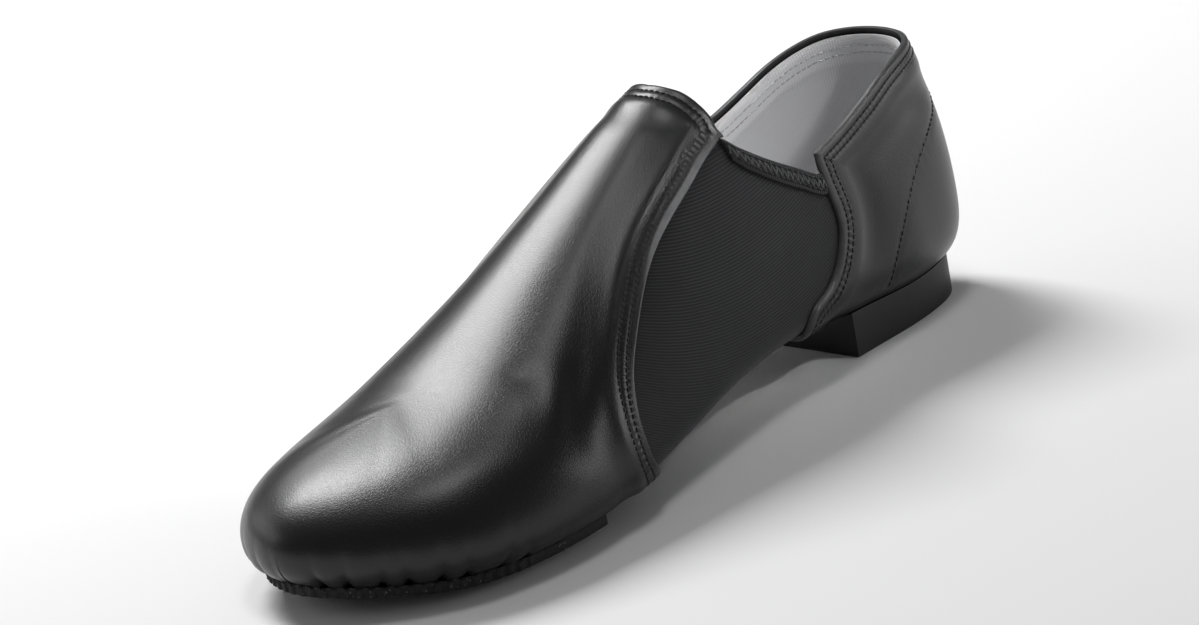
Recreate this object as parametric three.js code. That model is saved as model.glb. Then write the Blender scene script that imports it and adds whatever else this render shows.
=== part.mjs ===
// Slip-on jazz dance shoe for the left foot, with a split sole and stretch gores at both sides.
// Millimetres. +X runs to the toe, +Y to the outer side of the foot and +Z up from the floor.
// The origin is at the middle of the whole shoe's box, on the floor.
import * as THREE from 'three';

// Driving dimensions of the last
const shoeLength = 248;
const ballWidth = 86;
const heelWidth = 52;
const instepHeight = 86;
const rimHeight = 72;
const toeSpring = 5;

// Walls, pads and blocks
const leatherWall = 1.2;
const sockWall = 1.2;
const bindingWall = 0.8;
const bindingHeight = 5.5;
const insoleThickness = 2;
const soleThickness = 2.4;
const soleEdgeThickness = 3;
const heelHeight = 8;

// Places along the shoe, measured from the back of the heel
const heelBreast = 59;
const soleRearEnd = 175;

// Ribs in the edge of the front sole, around the toe
const ribPitch = 3.2;
const ribDepth = 0.5;
const ribbedRun = 64;

// Clearances
const pieceGap = 0.3;
const insoleGap = 0.5;
const bindingEndGap = 0.5;

// Levels round a section: -1 at the middle of the underside, 0 at the widest place, 1 at the crest
const soleEdgeLevel = -0.45;
const heelEdgeLevel = -0.5;
const insoleEdgeLevel = -0.4;
const openingEdgeLevel = -0.6;

// The sock's two openings underneath, as shares of the way from the first section to the last
const heelOpeningEnd = 0.24;
const foreOpeningStart = 0.63;
const openingRound = 0.12;

// Fullness of the sections: how far each quarter of a section keeps its first direction
const undersideRun = 0.82;
const undersideDrop = 0.82;
const sideFullness = 0.85;
const outerExtraFullness = 0.05;

// One row for each section, from the back of the heel to the tip of the toe.
// wideX, underX and crestX are shares of shoeLength; ballPart blends heelWidth into ballWidth;
// outer and inner are shares of half that width; heelPart, solePart and spring are shares of
// heelHeight, soleThickness and toeSpring under the section; rise is the widest place above the
// underside and bow the middle line's shift, both shares of ballWidth; crest is a share of
// instepHeight; topRise and topRun are the fullness above the widest place and beside the crest.
const sectionColumns = [
  'wideX', 'ballPart', 'outer', 'inner', 'underX', 'heelPart', 'solePart', 'spring',
  'rise', 'bow', 'crestX', 'crest', 'topRise', 'topRun',
];
const sections = [
  [0.000, 0.00, 0.00, 0.00, 0.110, 1.00, 0.00, 0.00, 0.229, 0.000, 0.170, 1.370, 0.55, 0.55],
  [0.012, 0.00, 0.46, 0.46, 0.120, 1.00, 0.00, 0.00, 0.223, 0.000, 0.180, 1.370, 0.55, 0.55],
  [0.048, 0.00, 0.77, 0.77, 0.140, 1.00, 0.00, 0.00, 0.211, 0.000, 0.200, 1.370, 0.55, 0.55],
  [0.120, 0.00, 0.94, 0.92, 0.180, 1.00, 0.00, 0.00, 0.200, 0.000, 0.240, 1.350, 0.55, 0.55],
  [0.220, 0.00, 1.00, 0.97, 0.250, 1.20, 0.00, 0.00, 0.176, 0.000, 0.300, 1.270, 0.56, 0.60],
  [0.330, 0.10, 1.03, 0.96, 0.340, 1.32, 0.10, 0.00, 0.162, 0.001, 0.370, 1.050, 0.65, 0.76],
  [0.440, 0.35, 1.02, 0.92, 0.445, 1.03, 0.35, 0.00, 0.166, 0.003, 0.450, 0.960, 0.60, 0.74],
  [0.550, 0.70, 1.00, 0.89, 0.550, 0.40, 0.75, 0.00, 0.172, 0.006, 0.545, 0.825, 0.57, 0.70],
  [0.650, 1.00, 0.99, 0.89, 0.650, 0.00, 1.00, 0.00, 0.162, 0.011, 0.635, 0.698, 0.55, 0.65],
  [0.740, 1.00, 1.04, 0.96, 0.735, 0.00, 1.00, 0.00, 0.138, 0.013, 0.710, 0.592, 0.58, 0.62],
  [0.820, 1.00, 1.01, 0.95, 0.800, 0.00, 1.00, 0.05, 0.125, 0.010, 0.765, 0.517, 0.62, 0.62],
  [0.890, 1.00, 0.91, 0.83, 0.840, 0.00, 1.00, 0.20, 0.120, -0.008, 0.800, 0.4785, 0.65, 0.62],
  [0.945, 1.00, 0.67, 0.63, 0.860, 0.00, 1.00, 0.45, 0.118, -0.024, 0.820, 0.4615, 0.65, 0.64],
  [0.983, 1.00, 0.35, 0.36, 0.870, 0.00, 1.00, 0.65, 0.118, -0.026, 0.830, 0.4535, 0.64, 0.66],
  [1.000, 1.00, 0.00, 0.00, 0.875, 0.00, 1.00, 0.75, 0.118, -0.026, 0.835, 0.4495, 0.64, 0.66],
];

// Top edge of the gores and, fore and aft of them, the line that the rows of faces follow:
// share of shoeLength, share of instepHeight
const goreLine = [
  [0.00, 0.54], [0.12, 0.575], [0.26, 0.63], [0.295, 0.685], [0.335, 0.757], [0.364, 0.82],
  [0.384, 0.87], [0.44, 0.87], [0.52, 0.815], [0.62, 0.67], [0.72, 0.52], [0.82, 0.415],
  [0.92, 0.355], [1.00, 0.30],
];

// Rim of the quarter: share of shoeLength, share of rimHeight
const rimLine = [
  [0.00, 1.01], [0.05, 1.015], [0.09, 1.00], [0.13, 0.97], [0.175, 0.915], [0.22, 0.865],
  [0.27, 0.825],
];

// Front edge of the quarter: row of faces, share of shoeLength
const quarterEdge = [
  [0.00, 0.300], [0.33, 0.325], [0.50, 0.328], [0.66, 0.318], [0.76, 0.293], [0.84, 0.265],
  [0.91, 0.250], [1.00, 0.260], [2.00, 0.262],
];

// Rear edge of the vamp, up beside the gore and over the instep: row of faces, share of shoeLength
const vampEdge = [
  [0.00, 0.605], [0.38, 0.624], [0.58, 0.646], [0.68, 0.648], [0.76, 0.626], [0.82, 0.574],
  [0.88, 0.497], [0.94, 0.430], [1.00, 0.382], [1.12, 0.379], [1.26, 0.377], [1.45, 0.379],
  [1.64, 0.382], [1.80, 0.386], [2.00, 0.389],
];

// Rows of faces: 0 at the lower edge, 1 at the gore line, 2 at the rim or the crest
const sideRows = [0, 0.09, 0.18, 0.27, 0.36, 0.46, 0.56, 0.66, 0.75, 0.82, 0.88, 0.94, 1];
const quarterTopRows = [1, 1.5, 2];
const vampTopRows = [1, 1.12, 1.28, 1.5, 1.75, 2];

// Columns of faces in each zone
const quarterColumns = 9;
const goreColumns = 6;
const vampColumns = 17;
const insoleColumns = 26;
const heelColumns = 9;
const soleColumns = 9;
const padRows = 4;

const sideways = [1, -1];
const up = new THREE.Vector3(0, 0, 1);

// Smooth value of a two-column table at x
function valueAt(rows, x) {
  let first = 0;
  while (first < rows.length - 2 && x > rows[first + 1][0]) {
    first += 1;
  }
  const slopeAt = (index) => {
    const before = rows[Math.max(index - 1, 0)];
    const after = rows[Math.min(index + 1, rows.length - 1)];
    return (after[1] - before[1]) / (after[0] - before[0]);
  };
  const [startX, startValue] = rows[first];
  const [endX, endValue] = rows[first + 1];
  const span = endX - startX;
  const t = THREE.MathUtils.clamp((x - startX) / span, 0, 1);
  const t2 = t * t;
  const t3 = t2 * t;
  return (
    (2 * t3 - 3 * t2 + 1) * startValue
    + (t3 - 2 * t2 + t) * span * slopeAt(first)
    + (3 * t2 - 2 * t3) * endValue
    + (t3 - t2) * span * slopeAt(first + 1)
  );
}

// Where a rising function passes zero between low and high
function solve(low, high, rising) {
  let below = low;
  let above = high;
  for (let step = 0; step < 40; step += 1) {
    const middle = (below + above) / 2;
    if (rising(middle) < 0) {
      below = middle;
    } else {
      above = middle;
    }
  }
  return (below + above) / 2;
}

// A row of the section table seen past either end: the widths change sign there
function mirrored(row) {
  return row.map((value, index) => {
    const isWidth = sectionColumns[index] === 'outer' || sectionColumns[index] === 'inner';
    return isWidth ? -value : value;
  });
}

// Named values of the section at u, 0 at the back of the heel and 1 at the tip of the toe
function sectionAt(u) {
  const last = sections.length - 1;
  const place = THREE.MathUtils.clamp(u, 0, 1) * last;
  const first = Math.min(Math.floor(place), last - 1);
  const t = place - first;
  const before = first > 0 ? sections[first - 1] : mirrored(sections[1]);
  const after = first < last - 1 ? sections[first + 2] : mirrored(sections[last - 1]);
  const section = {};
  sectionColumns.forEach((name, index) => {
    const a = before[index];
    const b = sections[first][index];
    const c = sections[first + 1][index];
    const d = after[index];
    section[name] = b + 0.5 * t * (c - a + t * (2 * a - 5 * b + 4 * c - d + t * (3 * (b - c) + d - a)));
  });
  return section;
}

// Middle of the crest at u
function crestPoint(section) {
  return new THREE.Vector3(
    section.crestX * shoeLength,
    section.bow * ballWidth,
    section.crest * instepHeight,
  );
}

// Steepness of the crest line at u
function crestSlope(u) {
  const step = 0.03;
  const rear = crestPoint(sectionAt(u - step));
  const front = crestPoint(sectionAt(u + step));
  const run = front.x - rear.x;
  return run > 1e-9 ? (front.z - rear.z) / run : 0;
}

// Control points of the two quarter curves of one side of a section, kept once worked out
const knownCurves = new Map();
function sectionCurves(side, u) {
  const key = `${side} ${u}`;
  if (knownCurves.has(key)) {
    return knownCurves.get(key);
  }
  const section = sectionAt(u);
  const halfWidth = THREE.MathUtils.lerp(heelWidth, ballWidth, section.ballPart) / 2;
  const reach = side * halfWidth * (side > 0 ? section.outer : section.inner);
  const middleY = section.bow * ballWidth;
  const underZ = (
    section.heelPart * heelHeight
    + section.solePart * soleThickness
    + section.spring * toeSpring
    + pieceGap
  );
  const under = new THREE.Vector3(section.underX * shoeLength, middleY, underZ);
  const wide = new THREE.Vector3(
    section.wideX * shoeLength,
    middleY + reach,
    underZ + section.rise * ballWidth,
  );
  const crest = crestPoint(section);
  const underOut = wide.clone().sub(under).setZ(0);
  const crestOut = wide.clone().sub(crest).setZ(0);
  crestOut.z = crestSlope(u) * crestOut.x;
  // The outer side is fuller than the inner one, but both are alike where they meet at the ends
  const fullness = sideFullness + side * outerExtraFullness * 4 * u * (1 - u);
  const curves = {
    low: [
      under,
      under.clone().addScaledVector(underOut, undersideRun),
      wide.clone().addScaledVector(up, -undersideDrop * (wide.z - under.z)),
      wide,
    ],
    high: [
      wide,
      wide.clone().addScaledVector(up, section.topRise * fullness * (crest.z - wide.z)),
      crest.clone().addScaledVector(crestOut, section.topRun * fullness),
      crest,
    ],
  };
  knownCurves.set(key, curves);
  return curves;
}

// Point on the outside of the leather: side +1 or -1, u along the shoe, v round the section
function formPoint(side, u, v) {
  const curves = sectionCurves(side, u);
  const points = v < 0 ? curves.low : curves.high;
  const t = v < 0 ? v + 1 : v;
  const s = 1 - t;
  return new THREE.Vector3()
    .addScaledVector(points[0], s * s * s)
    .addScaledVector(points[1], 3 * s * s * t)
    .addScaledVector(points[2], 3 * s * t * t)
    .addScaledVector(points[3], t * t * t);
}

// Outward direction of one side's surface
function sideNormal(side, u, v) {
  const step = 0.002;
  const along = formPoint(side, Math.min(u + step, 1), v)
    .sub(formPoint(side, Math.max(u - step, 0), v));
  const round = formPoint(side, u, Math.min(v + step, 1))
    .sub(formPoint(side, u, Math.max(v - step, -1)));
  return round.cross(along).multiplyScalar(side).normalize();
}

// Outward direction of the form; where both sides meet it is the mean of the two
function formNormal(side, u, v) {
  const inset = 0.02;
  const onEnd = u <= 0 || u >= 1;
  const onMiddle = Math.abs(v) >= 1;
  if (!onEnd && !onMiddle) {
    return sideNormal(side, u, v);
  }
  const nearU = onEnd ? THREE.MathUtils.clamp(u, inset / 4, 1 - inset / 4) : u;
  const nearV = onMiddle ? THREE.MathUtils.clamp(v, inset - 1, 1 - inset) : v;
  const normal = new THREE.Vector3();
  sideways.forEach((each) => normal.add(sideNormal(each, nearU, nearV)));
  return normal.normalize();
}

// Point at a depth under the outside of the leather, or above it where the depth is negative
function depthPoint(place, depth) {
  const normal = formNormal(place.side, place.u, place.v);
  return formPoint(place.side, place.u, place.v).addScaledVector(normal, -depth);
}

// Level of the lower edge: the openings' edge, or the middle of the underside at the arch
function lowLevel(u) {
  const nearHeel = (heelOpeningEnd - u) / openingRound;
  const nearToe = (u - foreOpeningStart) / openingRound;
  const open = THREE.MathUtils.clamp(Math.max(nearHeel, nearToe), 0, 1);
  return -1 + (openingEdgeLevel + 1) * Math.sqrt(open);
}

// Level at which a section reaches a line given by shares of the length and of a height
function levelOfLine(side, u, line, height) {
  return solve(0, 1, (v) => {
    const point = formPoint(side, u, v);
    return point.z - valueAt(line, point.x / shoeLength) * height;
  });
}

// Level of a row of faces. The quarter's rows above the gore line rise to its rim, the vamp's to
// the crest.
const knownLevels = new Map();
function goreLevel(side, u) {
  const key = `${side} ${u}`;
  if (!knownLevels.has(key)) {
    knownLevels.set(key, levelOfLine(side, u, goreLine, instepHeight));
  }
  return knownLevels.get(key);
}

function quarterLevel(side, u, row) {
  if (row <= 1) {
    return THREE.MathUtils.lerp(lowLevel(u), goreLevel(side, u), row);
  }
  const rim = levelOfLine(side, u, rimLine, rimHeight);
  return THREE.MathUtils.lerp(goreLevel(side, u), rim, row - 1);
}

function vampLevel(side, u, row) {
  if (row <= 1) {
    return THREE.MathUtils.lerp(lowLevel(u), goreLevel(side, u), row);
  }
  return THREE.MathUtils.lerp(goreLevel(side, u), 1, row - 1);
}

// Where a row of faces passes a distance x from the back of the heel
function crossing(side, levelAt, x) {
  return solve(0, 1, (u) => formPoint(side, u, levelAt(u)).x - x);
}

// A zone's two edges as functions of side and row, each giving u
const heelBack = () => 0;
const toeTip = () => 1;
function quarterFront(side, row, shift = 0) {
  const x = valueAt(quarterEdge, row) * shoeLength + shift;
  return crossing(side, (u) => quarterLevel(side, u, row), x);
}
function vampRear(side, row, shift = 0) {
  const x = valueAt(vampEdge, row) * shoeLength + shift;
  return crossing(side, (u) => vampLevel(side, u, row), x);
}

// Cells between two edges on both sides, each with its corners in order seen from outside
function zoneCells(startEdge, endEdge, columns, rows, levelOf) {
  const cells = [];
  sideways.forEach((side) => {
    const lines = rows.map((row) => {
      const start = startEdge(side, row);
      const end = endEdge(side, row);
      return Array.from({ length: columns + 1 }, (unused, column) => {
        const u = THREE.MathUtils.lerp(start, end, column / columns);
        return { side, u, v: levelOf(side, u, row) };
      });
    });
    cells.push(...linkLines(lines, side));
  });
  return cells;
}

// Cells between neighbouring lines of places
function linkLines(lines, side) {
  const cells = [];
  for (let row = 0; row < lines.length - 1; row += 1) {
    for (let column = 0; column < lines[row].length - 1; column += 1) {
      const corners = [
        lines[row][column],
        lines[row + 1][column],
        lines[row + 1][column + 1],
        lines[row][column + 1],
      ];
      cells.push(side > 0 ? corners : corners.reverse());
    }
  }
  return cells;
}

// Closed wall between an outer and an inner face of the same cells, with its edges closed
function wall(cells, outerOf, innerOf) {
  const weld = 0.001;
  const known = new Map();
  const outer = [];
  const inner = [];
  const indexOf = (place) => {
    const point = outerOf(place);
    const key = point.toArray().map((value) => Math.round(value / weld)).join(' ');
    if (!known.has(key)) {
      known.set(key, outer.length);
      outer.push(point);
      inner.push(innerOf(place));
    }
    return known.get(key);
  };
  const faces = [];
  cells.forEach((cell) => {
    const [a, b, c, d] = cell.map(indexOf);
    [[a, b, c], [a, c, d]].forEach((face) => {
      if (new Set(face).size === 3) {
        faces.push(face);
      }
    });
  });
  const directed = new Set();
  const edges = faces.flatMap(([a, b, c]) => [[a, b], [b, c], [c, a]]);
  edges.forEach(([start, end]) => directed.add(`${start} ${end}`));
  const count = outer.length;
  const indices = faces.flat();
  faces.forEach(([a, b, c]) => indices.push(count + a, count + c, count + b));
  edges.filter(([start, end]) => !directed.has(`${end} ${start}`)).forEach(([start, end]) => {
    indices.push(end, start, count + start);
    indices.push(end, count + start, count + end);
  });
  const geometry = new THREE.BufferGeometry();
  const values = [...outer, ...inner].flatMap((point) => point.toArray());
  geometry.setAttribute('position', new THREE.Float32BufferAttribute(values, 3));
  geometry.setIndex(indices);
  geometry.computeVertexNormals();
  return geometry;
}

// Wall between two depths under the outside of the leather
function depthWall(cells, outerDepth, innerDepth) {
  return wall(
    cells,
    (place) => depthPoint(place, outerDepth),
    (place) => depthPoint(place, innerDepth),
  );
}

// Zones of the upper
const allQuarterRows = [...sideRows, ...quarterTopRows.slice(1)];
const allVampRows = [...sideRows, ...vampTopRows.slice(1)];
const quarterCells = zoneCells(heelBack, quarterFront, quarterColumns, allQuarterRows, quarterLevel);
const goreCells = zoneCells(quarterFront, vampRear, goreColumns, sideRows, vampLevel);
const vampCells = zoneCells(vampRear, toeTip, vampColumns, allVampRows, vampLevel);

const sockDepth = leatherWall + pieceGap;
const insideDepth = sockDepth + sockWall;

function upperGeometry() {
  return depthWall([...quarterCells, ...goreCells, ...vampCells], sockDepth, insideDepth);
}

function vampGeometry() {
  return depthWall(vampCells, 0, leatherWall);
}

function quarterGeometry() {
  return depthWall(quarterCells, 0, leatherWall);
}

// Binding on the outside of one gore, along its top edge and between the leather's edges
function bindingGeometry(bindingSide) {
  const lowerLine = goreLine.map(([x, height]) => [x, height - bindingHeight / instepHeight]);
  const rows = [0, 0.5, 1];
  const start = (side) => quarterFront(side, 1, bindingEndGap);
  const end = (side) => vampRear(side, 1, -bindingEndGap);
  const levelOf = (side, u, row) => {
    const lower = levelOfLine(side, u, lowerLine, instepHeight);
    return THREE.MathUtils.lerp(lower, goreLevel(side, u), row);
  };
  const cells = zoneCells(start, end, goreColumns, rows, levelOf);
  const ownCells = cells.filter((cell) => cell[0].side === bindingSide);
  const innerDepth = sockDepth - pieceGap;
  return depthWall(ownCells, innerDepth - bindingWall, innerDepth);
}

// Rows from the middle of the underside to an edge level
function undersideRows(edgeLevel) {
  return Array.from({ length: padRows + 1 }, (unused, row) => (
    THREE.MathUtils.lerp(-1, edgeLevel, row / padRows)
  ));
}

function insoleGeometry() {
  const rows = undersideRows(insoleEdgeLevel);
  const cells = zoneCells(heelBack, toeTip, insoleColumns, rows, (side, u, row) => row);
  const lowDepth = insideDepth + insoleGap;
  return depthWall(cells, lowDepth, lowDepth + insoleThickness);
}

function heelGeometry() {
  const rows = undersideRows(heelEdgeLevel);
  const breast = (side, row) => crossing(side, () => row, heelBreast);
  const cells = zoneCells(heelBack, breast, heelColumns, rows, (side, u, row) => row);
  const top = (place) => depthPoint(place, -pieceGap);
  return wall(cells, (place) => top(place).setZ(0), top);
}

// Stations along the edge of the front sole: each rib is one station out and one back
function ribStations() {
  const steps = 400;
  const stations = [1];
  let last = formPoint(1, 1, soleEdgeLevel);
  let run = 0;
  let fromLast = 0;
  for (let step = 1; step < steps && run < ribbedRun; step += 1) {
    const u = 1 - (0.5 * step) / steps;
    const point = formPoint(1, u, soleEdgeLevel);
    const move = point.distanceTo(last);
    last = point;
    run += move;
    fromLast += move;
    if (fromLast >= ribPitch / 2) {
      stations.unshift(u);
      fromLast = 0;
    }
  }
  return stations;
}

// Front sole: its top follows the underside and its bottom is flat on the floor, then lifts
function frontSoleGeometry() {
  const rows = undersideRows(soleEdgeLevel);
  const stations = ribStations();
  const cells = [];
  sideways.forEach((side) => {
    const lines = rows.map((row) => {
      const start = crossing(side, () => row, soleRearEnd);
      const plain = Array.from({ length: soleColumns }, (unused, column) => ({
        side,
        u: THREE.MathUtils.lerp(start, stations[0], column / soleColumns),
        v: row,
        out: 0,
      }));
      const ribbed = stations.map((u, index) => ({
        side,
        u,
        v: row,
        out: row === soleEdgeLevel && index % 2 === 1 ? ribDepth : 0,
      }));
      return [...plain, ...ribbed];
    });
    cells.push(...linkLines(lines, side));
  });
  const top = (place) => {
    const point = depthPoint(place, -pieceGap);
    const outward = formNormal(place.side, place.u, place.v).setZ(0);
    return place.out > 0 ? point.addScaledVector(outward.normalize(), place.out) : point;
  };
  const bottom = (place) => {
    const point = top(place);
    return point.setZ(Math.max(0, point.z - soleEdgeThickness));
  };
  return wall(cells, bottom, top);
}

// Finishes
function finish(color, roughness) {
  return new THREE.MeshStandardMaterial({ color, roughness, metalness: 0 });
}

const shoe = new THREE.Group();
function addPiece(name, geometry, material) {
  const piece = new THREE.Mesh(geometry, material);
  piece.name = name;
  shoe.add(piece);
}

addPiece('upper', upperGeometry(), finish(0x17181a, 0.9));
addPiece('vamp', vampGeometry(), finish(0x0c0c0d, 0.35));
addPiece('quarter', quarterGeometry(), finish(0x0c0c0d, 0.35));
addPiece('binding_left', bindingGeometry(1), finish(0x101113, 0.8));
addPiece('binding_right', bindingGeometry(-1), finish(0x101113, 0.8));
addPiece('insole', insoleGeometry(), finish(0x8e9094, 0.9));
addPiece('front_sole', frontSoleGeometry(), finish(0x101010, 0.85));
addPiece('heel', heelGeometry(), finish(0x0b0b0b, 0.6));

const box = new THREE.Box3().setFromObject(shoe);
const middle = box.getCenter(new THREE.Vector3());
shoe.position.set(-middle.x, -middle.y, -box.min.z);

export default shoe;
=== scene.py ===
"""Looks of a black slip-on jazz dance shoe for the left foot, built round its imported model.

Metres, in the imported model's frame: +X to the toe, +Y to the outer side of the foot, +Z up, with
the origin at the middle of the shoe's box, on the floor. Distances along the shoe are measured
from the back of the heel.
"""

import logging
import math
from dataclasses import dataclass, field
from enum import Enum
from functools import lru_cache
from typing import Callable, Sequence

import bmesh
import bpy
import numpy as np
from mathutils import Matrix, Vector
from mathutils.kdtree import KDTree


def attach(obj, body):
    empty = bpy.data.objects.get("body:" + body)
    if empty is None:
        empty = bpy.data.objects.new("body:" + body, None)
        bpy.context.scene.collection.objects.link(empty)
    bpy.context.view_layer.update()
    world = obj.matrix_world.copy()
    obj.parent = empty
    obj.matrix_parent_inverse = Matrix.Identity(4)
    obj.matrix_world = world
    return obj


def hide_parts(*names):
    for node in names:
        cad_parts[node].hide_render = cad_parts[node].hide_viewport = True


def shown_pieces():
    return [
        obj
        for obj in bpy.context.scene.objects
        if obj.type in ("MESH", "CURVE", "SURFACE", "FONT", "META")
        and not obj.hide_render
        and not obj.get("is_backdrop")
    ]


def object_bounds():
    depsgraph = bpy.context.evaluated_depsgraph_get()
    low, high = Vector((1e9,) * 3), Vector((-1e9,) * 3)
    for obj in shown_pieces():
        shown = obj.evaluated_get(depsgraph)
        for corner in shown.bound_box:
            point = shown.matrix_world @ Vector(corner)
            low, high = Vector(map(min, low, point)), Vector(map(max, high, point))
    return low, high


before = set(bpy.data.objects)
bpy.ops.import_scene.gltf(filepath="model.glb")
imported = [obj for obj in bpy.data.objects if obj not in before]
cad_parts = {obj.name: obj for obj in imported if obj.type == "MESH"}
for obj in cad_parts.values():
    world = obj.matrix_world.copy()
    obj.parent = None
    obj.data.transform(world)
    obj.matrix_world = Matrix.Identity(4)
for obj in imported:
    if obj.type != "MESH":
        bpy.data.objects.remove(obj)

MM = 0.001
OUTER_SIDE = 1
INNER_SIDE = -1
SIDES = (OUTER_SIDE, INNER_SIDE)
BODY = "root"
# Points nearer than WELD are one; TINY keeps a division away from 0
WELD = 2e-6
TINY = 1e-12

log = logging.getLogger("shoe")


def smooth_step(low: float, high: float, x: np.ndarray) -> np.ndarray:
    """0 below low, 1 above high and a soft slope between them.

    Args:
        low: Where the slope starts.
        high: Where it ends; below low, the slope falls instead.
        x: The values to map.

    Returns:
        An array of x's shape.
    """
    t = np.clip((x - low) / (high - low), 0.0, 1.0)
    return t * t * (3 - 2 * t)


def unit(vectors: np.ndarray) -> np.ndarray:
    """The vectors at length 1."""
    return vectors / np.maximum(np.linalg.norm(vectors, axis=-1, keepdims=True), TINY)


def run_along(points: np.ndarray) -> np.ndarray:
    """Distance of each point along the line through them all, 0 at the first."""
    steps = np.linalg.norm(np.diff(points, axis=0), axis=1)
    return np.concatenate([[0.0], np.cumsum(steps)])


def read_line(wanted: np.ndarray, own: np.ndarray, points: np.ndarray) -> np.ndarray:
    """Points, or directions, of a line at other places along it.

    Args:
        wanted: The places to read it at.
        own: The place of each of its own points, rising.
        points: Its own points.

    Returns:
        One point for each wanted place.
    """
    return np.stack([np.interp(wanted, own, points[:, axis]) for axis in range(3)], axis=-1)


def smooth_value(rows: Sequence[tuple[float, float]], x: np.ndarray) -> np.ndarray:
    """Value of a two-column table at x, on a smooth curve through its rows.

    Args:
        rows: The table, x first, in rising order.
        x: Where to read it; past either end the end's value holds.

    Returns:
        An array of x's shape.
    """
    table = np.array(rows, float)
    xs, values = table[:, 0], table[:, 1]
    before = np.maximum(np.arange(len(xs)) - 1, 0)
    after = np.minimum(np.arange(len(xs)) + 1, len(xs) - 1)
    slopes = (values[after] - values[before]) / (xs[after] - xs[before])
    first = np.clip(np.searchsorted(xs, x, side="right") - 1, 0, len(xs) - 2)
    span = xs[first + 1] - xs[first]
    t = np.clip((x - xs[first]) / span, 0.0, 1.0)
    t2, t3 = t * t, t * t * t
    return (
        (2 * t3 - 3 * t2 + 1) * values[first]
        + (t3 - 2 * t2 + t) * span * slopes[first]
        + (3 * t2 - 2 * t3) * values[first + 1]
        + (t3 - t2) * span * slopes[first + 1]
    )


def bisect(low: np.ndarray, high: np.ndarray, rising: Callable[[np.ndarray], np.ndarray]) -> np.ndarray:
    """Where a rising function of an array passes zero, item by item.

    Args:
        low: Start of the range for each item.
        high: End of the range for each item.
        rising: The function.

    Returns:
        The places where it passes zero.
    """
    halvings = 34
    for _ in range(halvings):
        middle = (low + high) / 2
        below = rising(middle) < 0
        low = np.where(below, middle, low)
        high = np.where(below, high, middle)
    return (low + high) / 2


@dataclass(frozen=True)
class Places:
    """Places on one side of the last: u along the shoe, v round the section."""

    side: int
    u: np.ndarray
    v: np.ndarray


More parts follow.
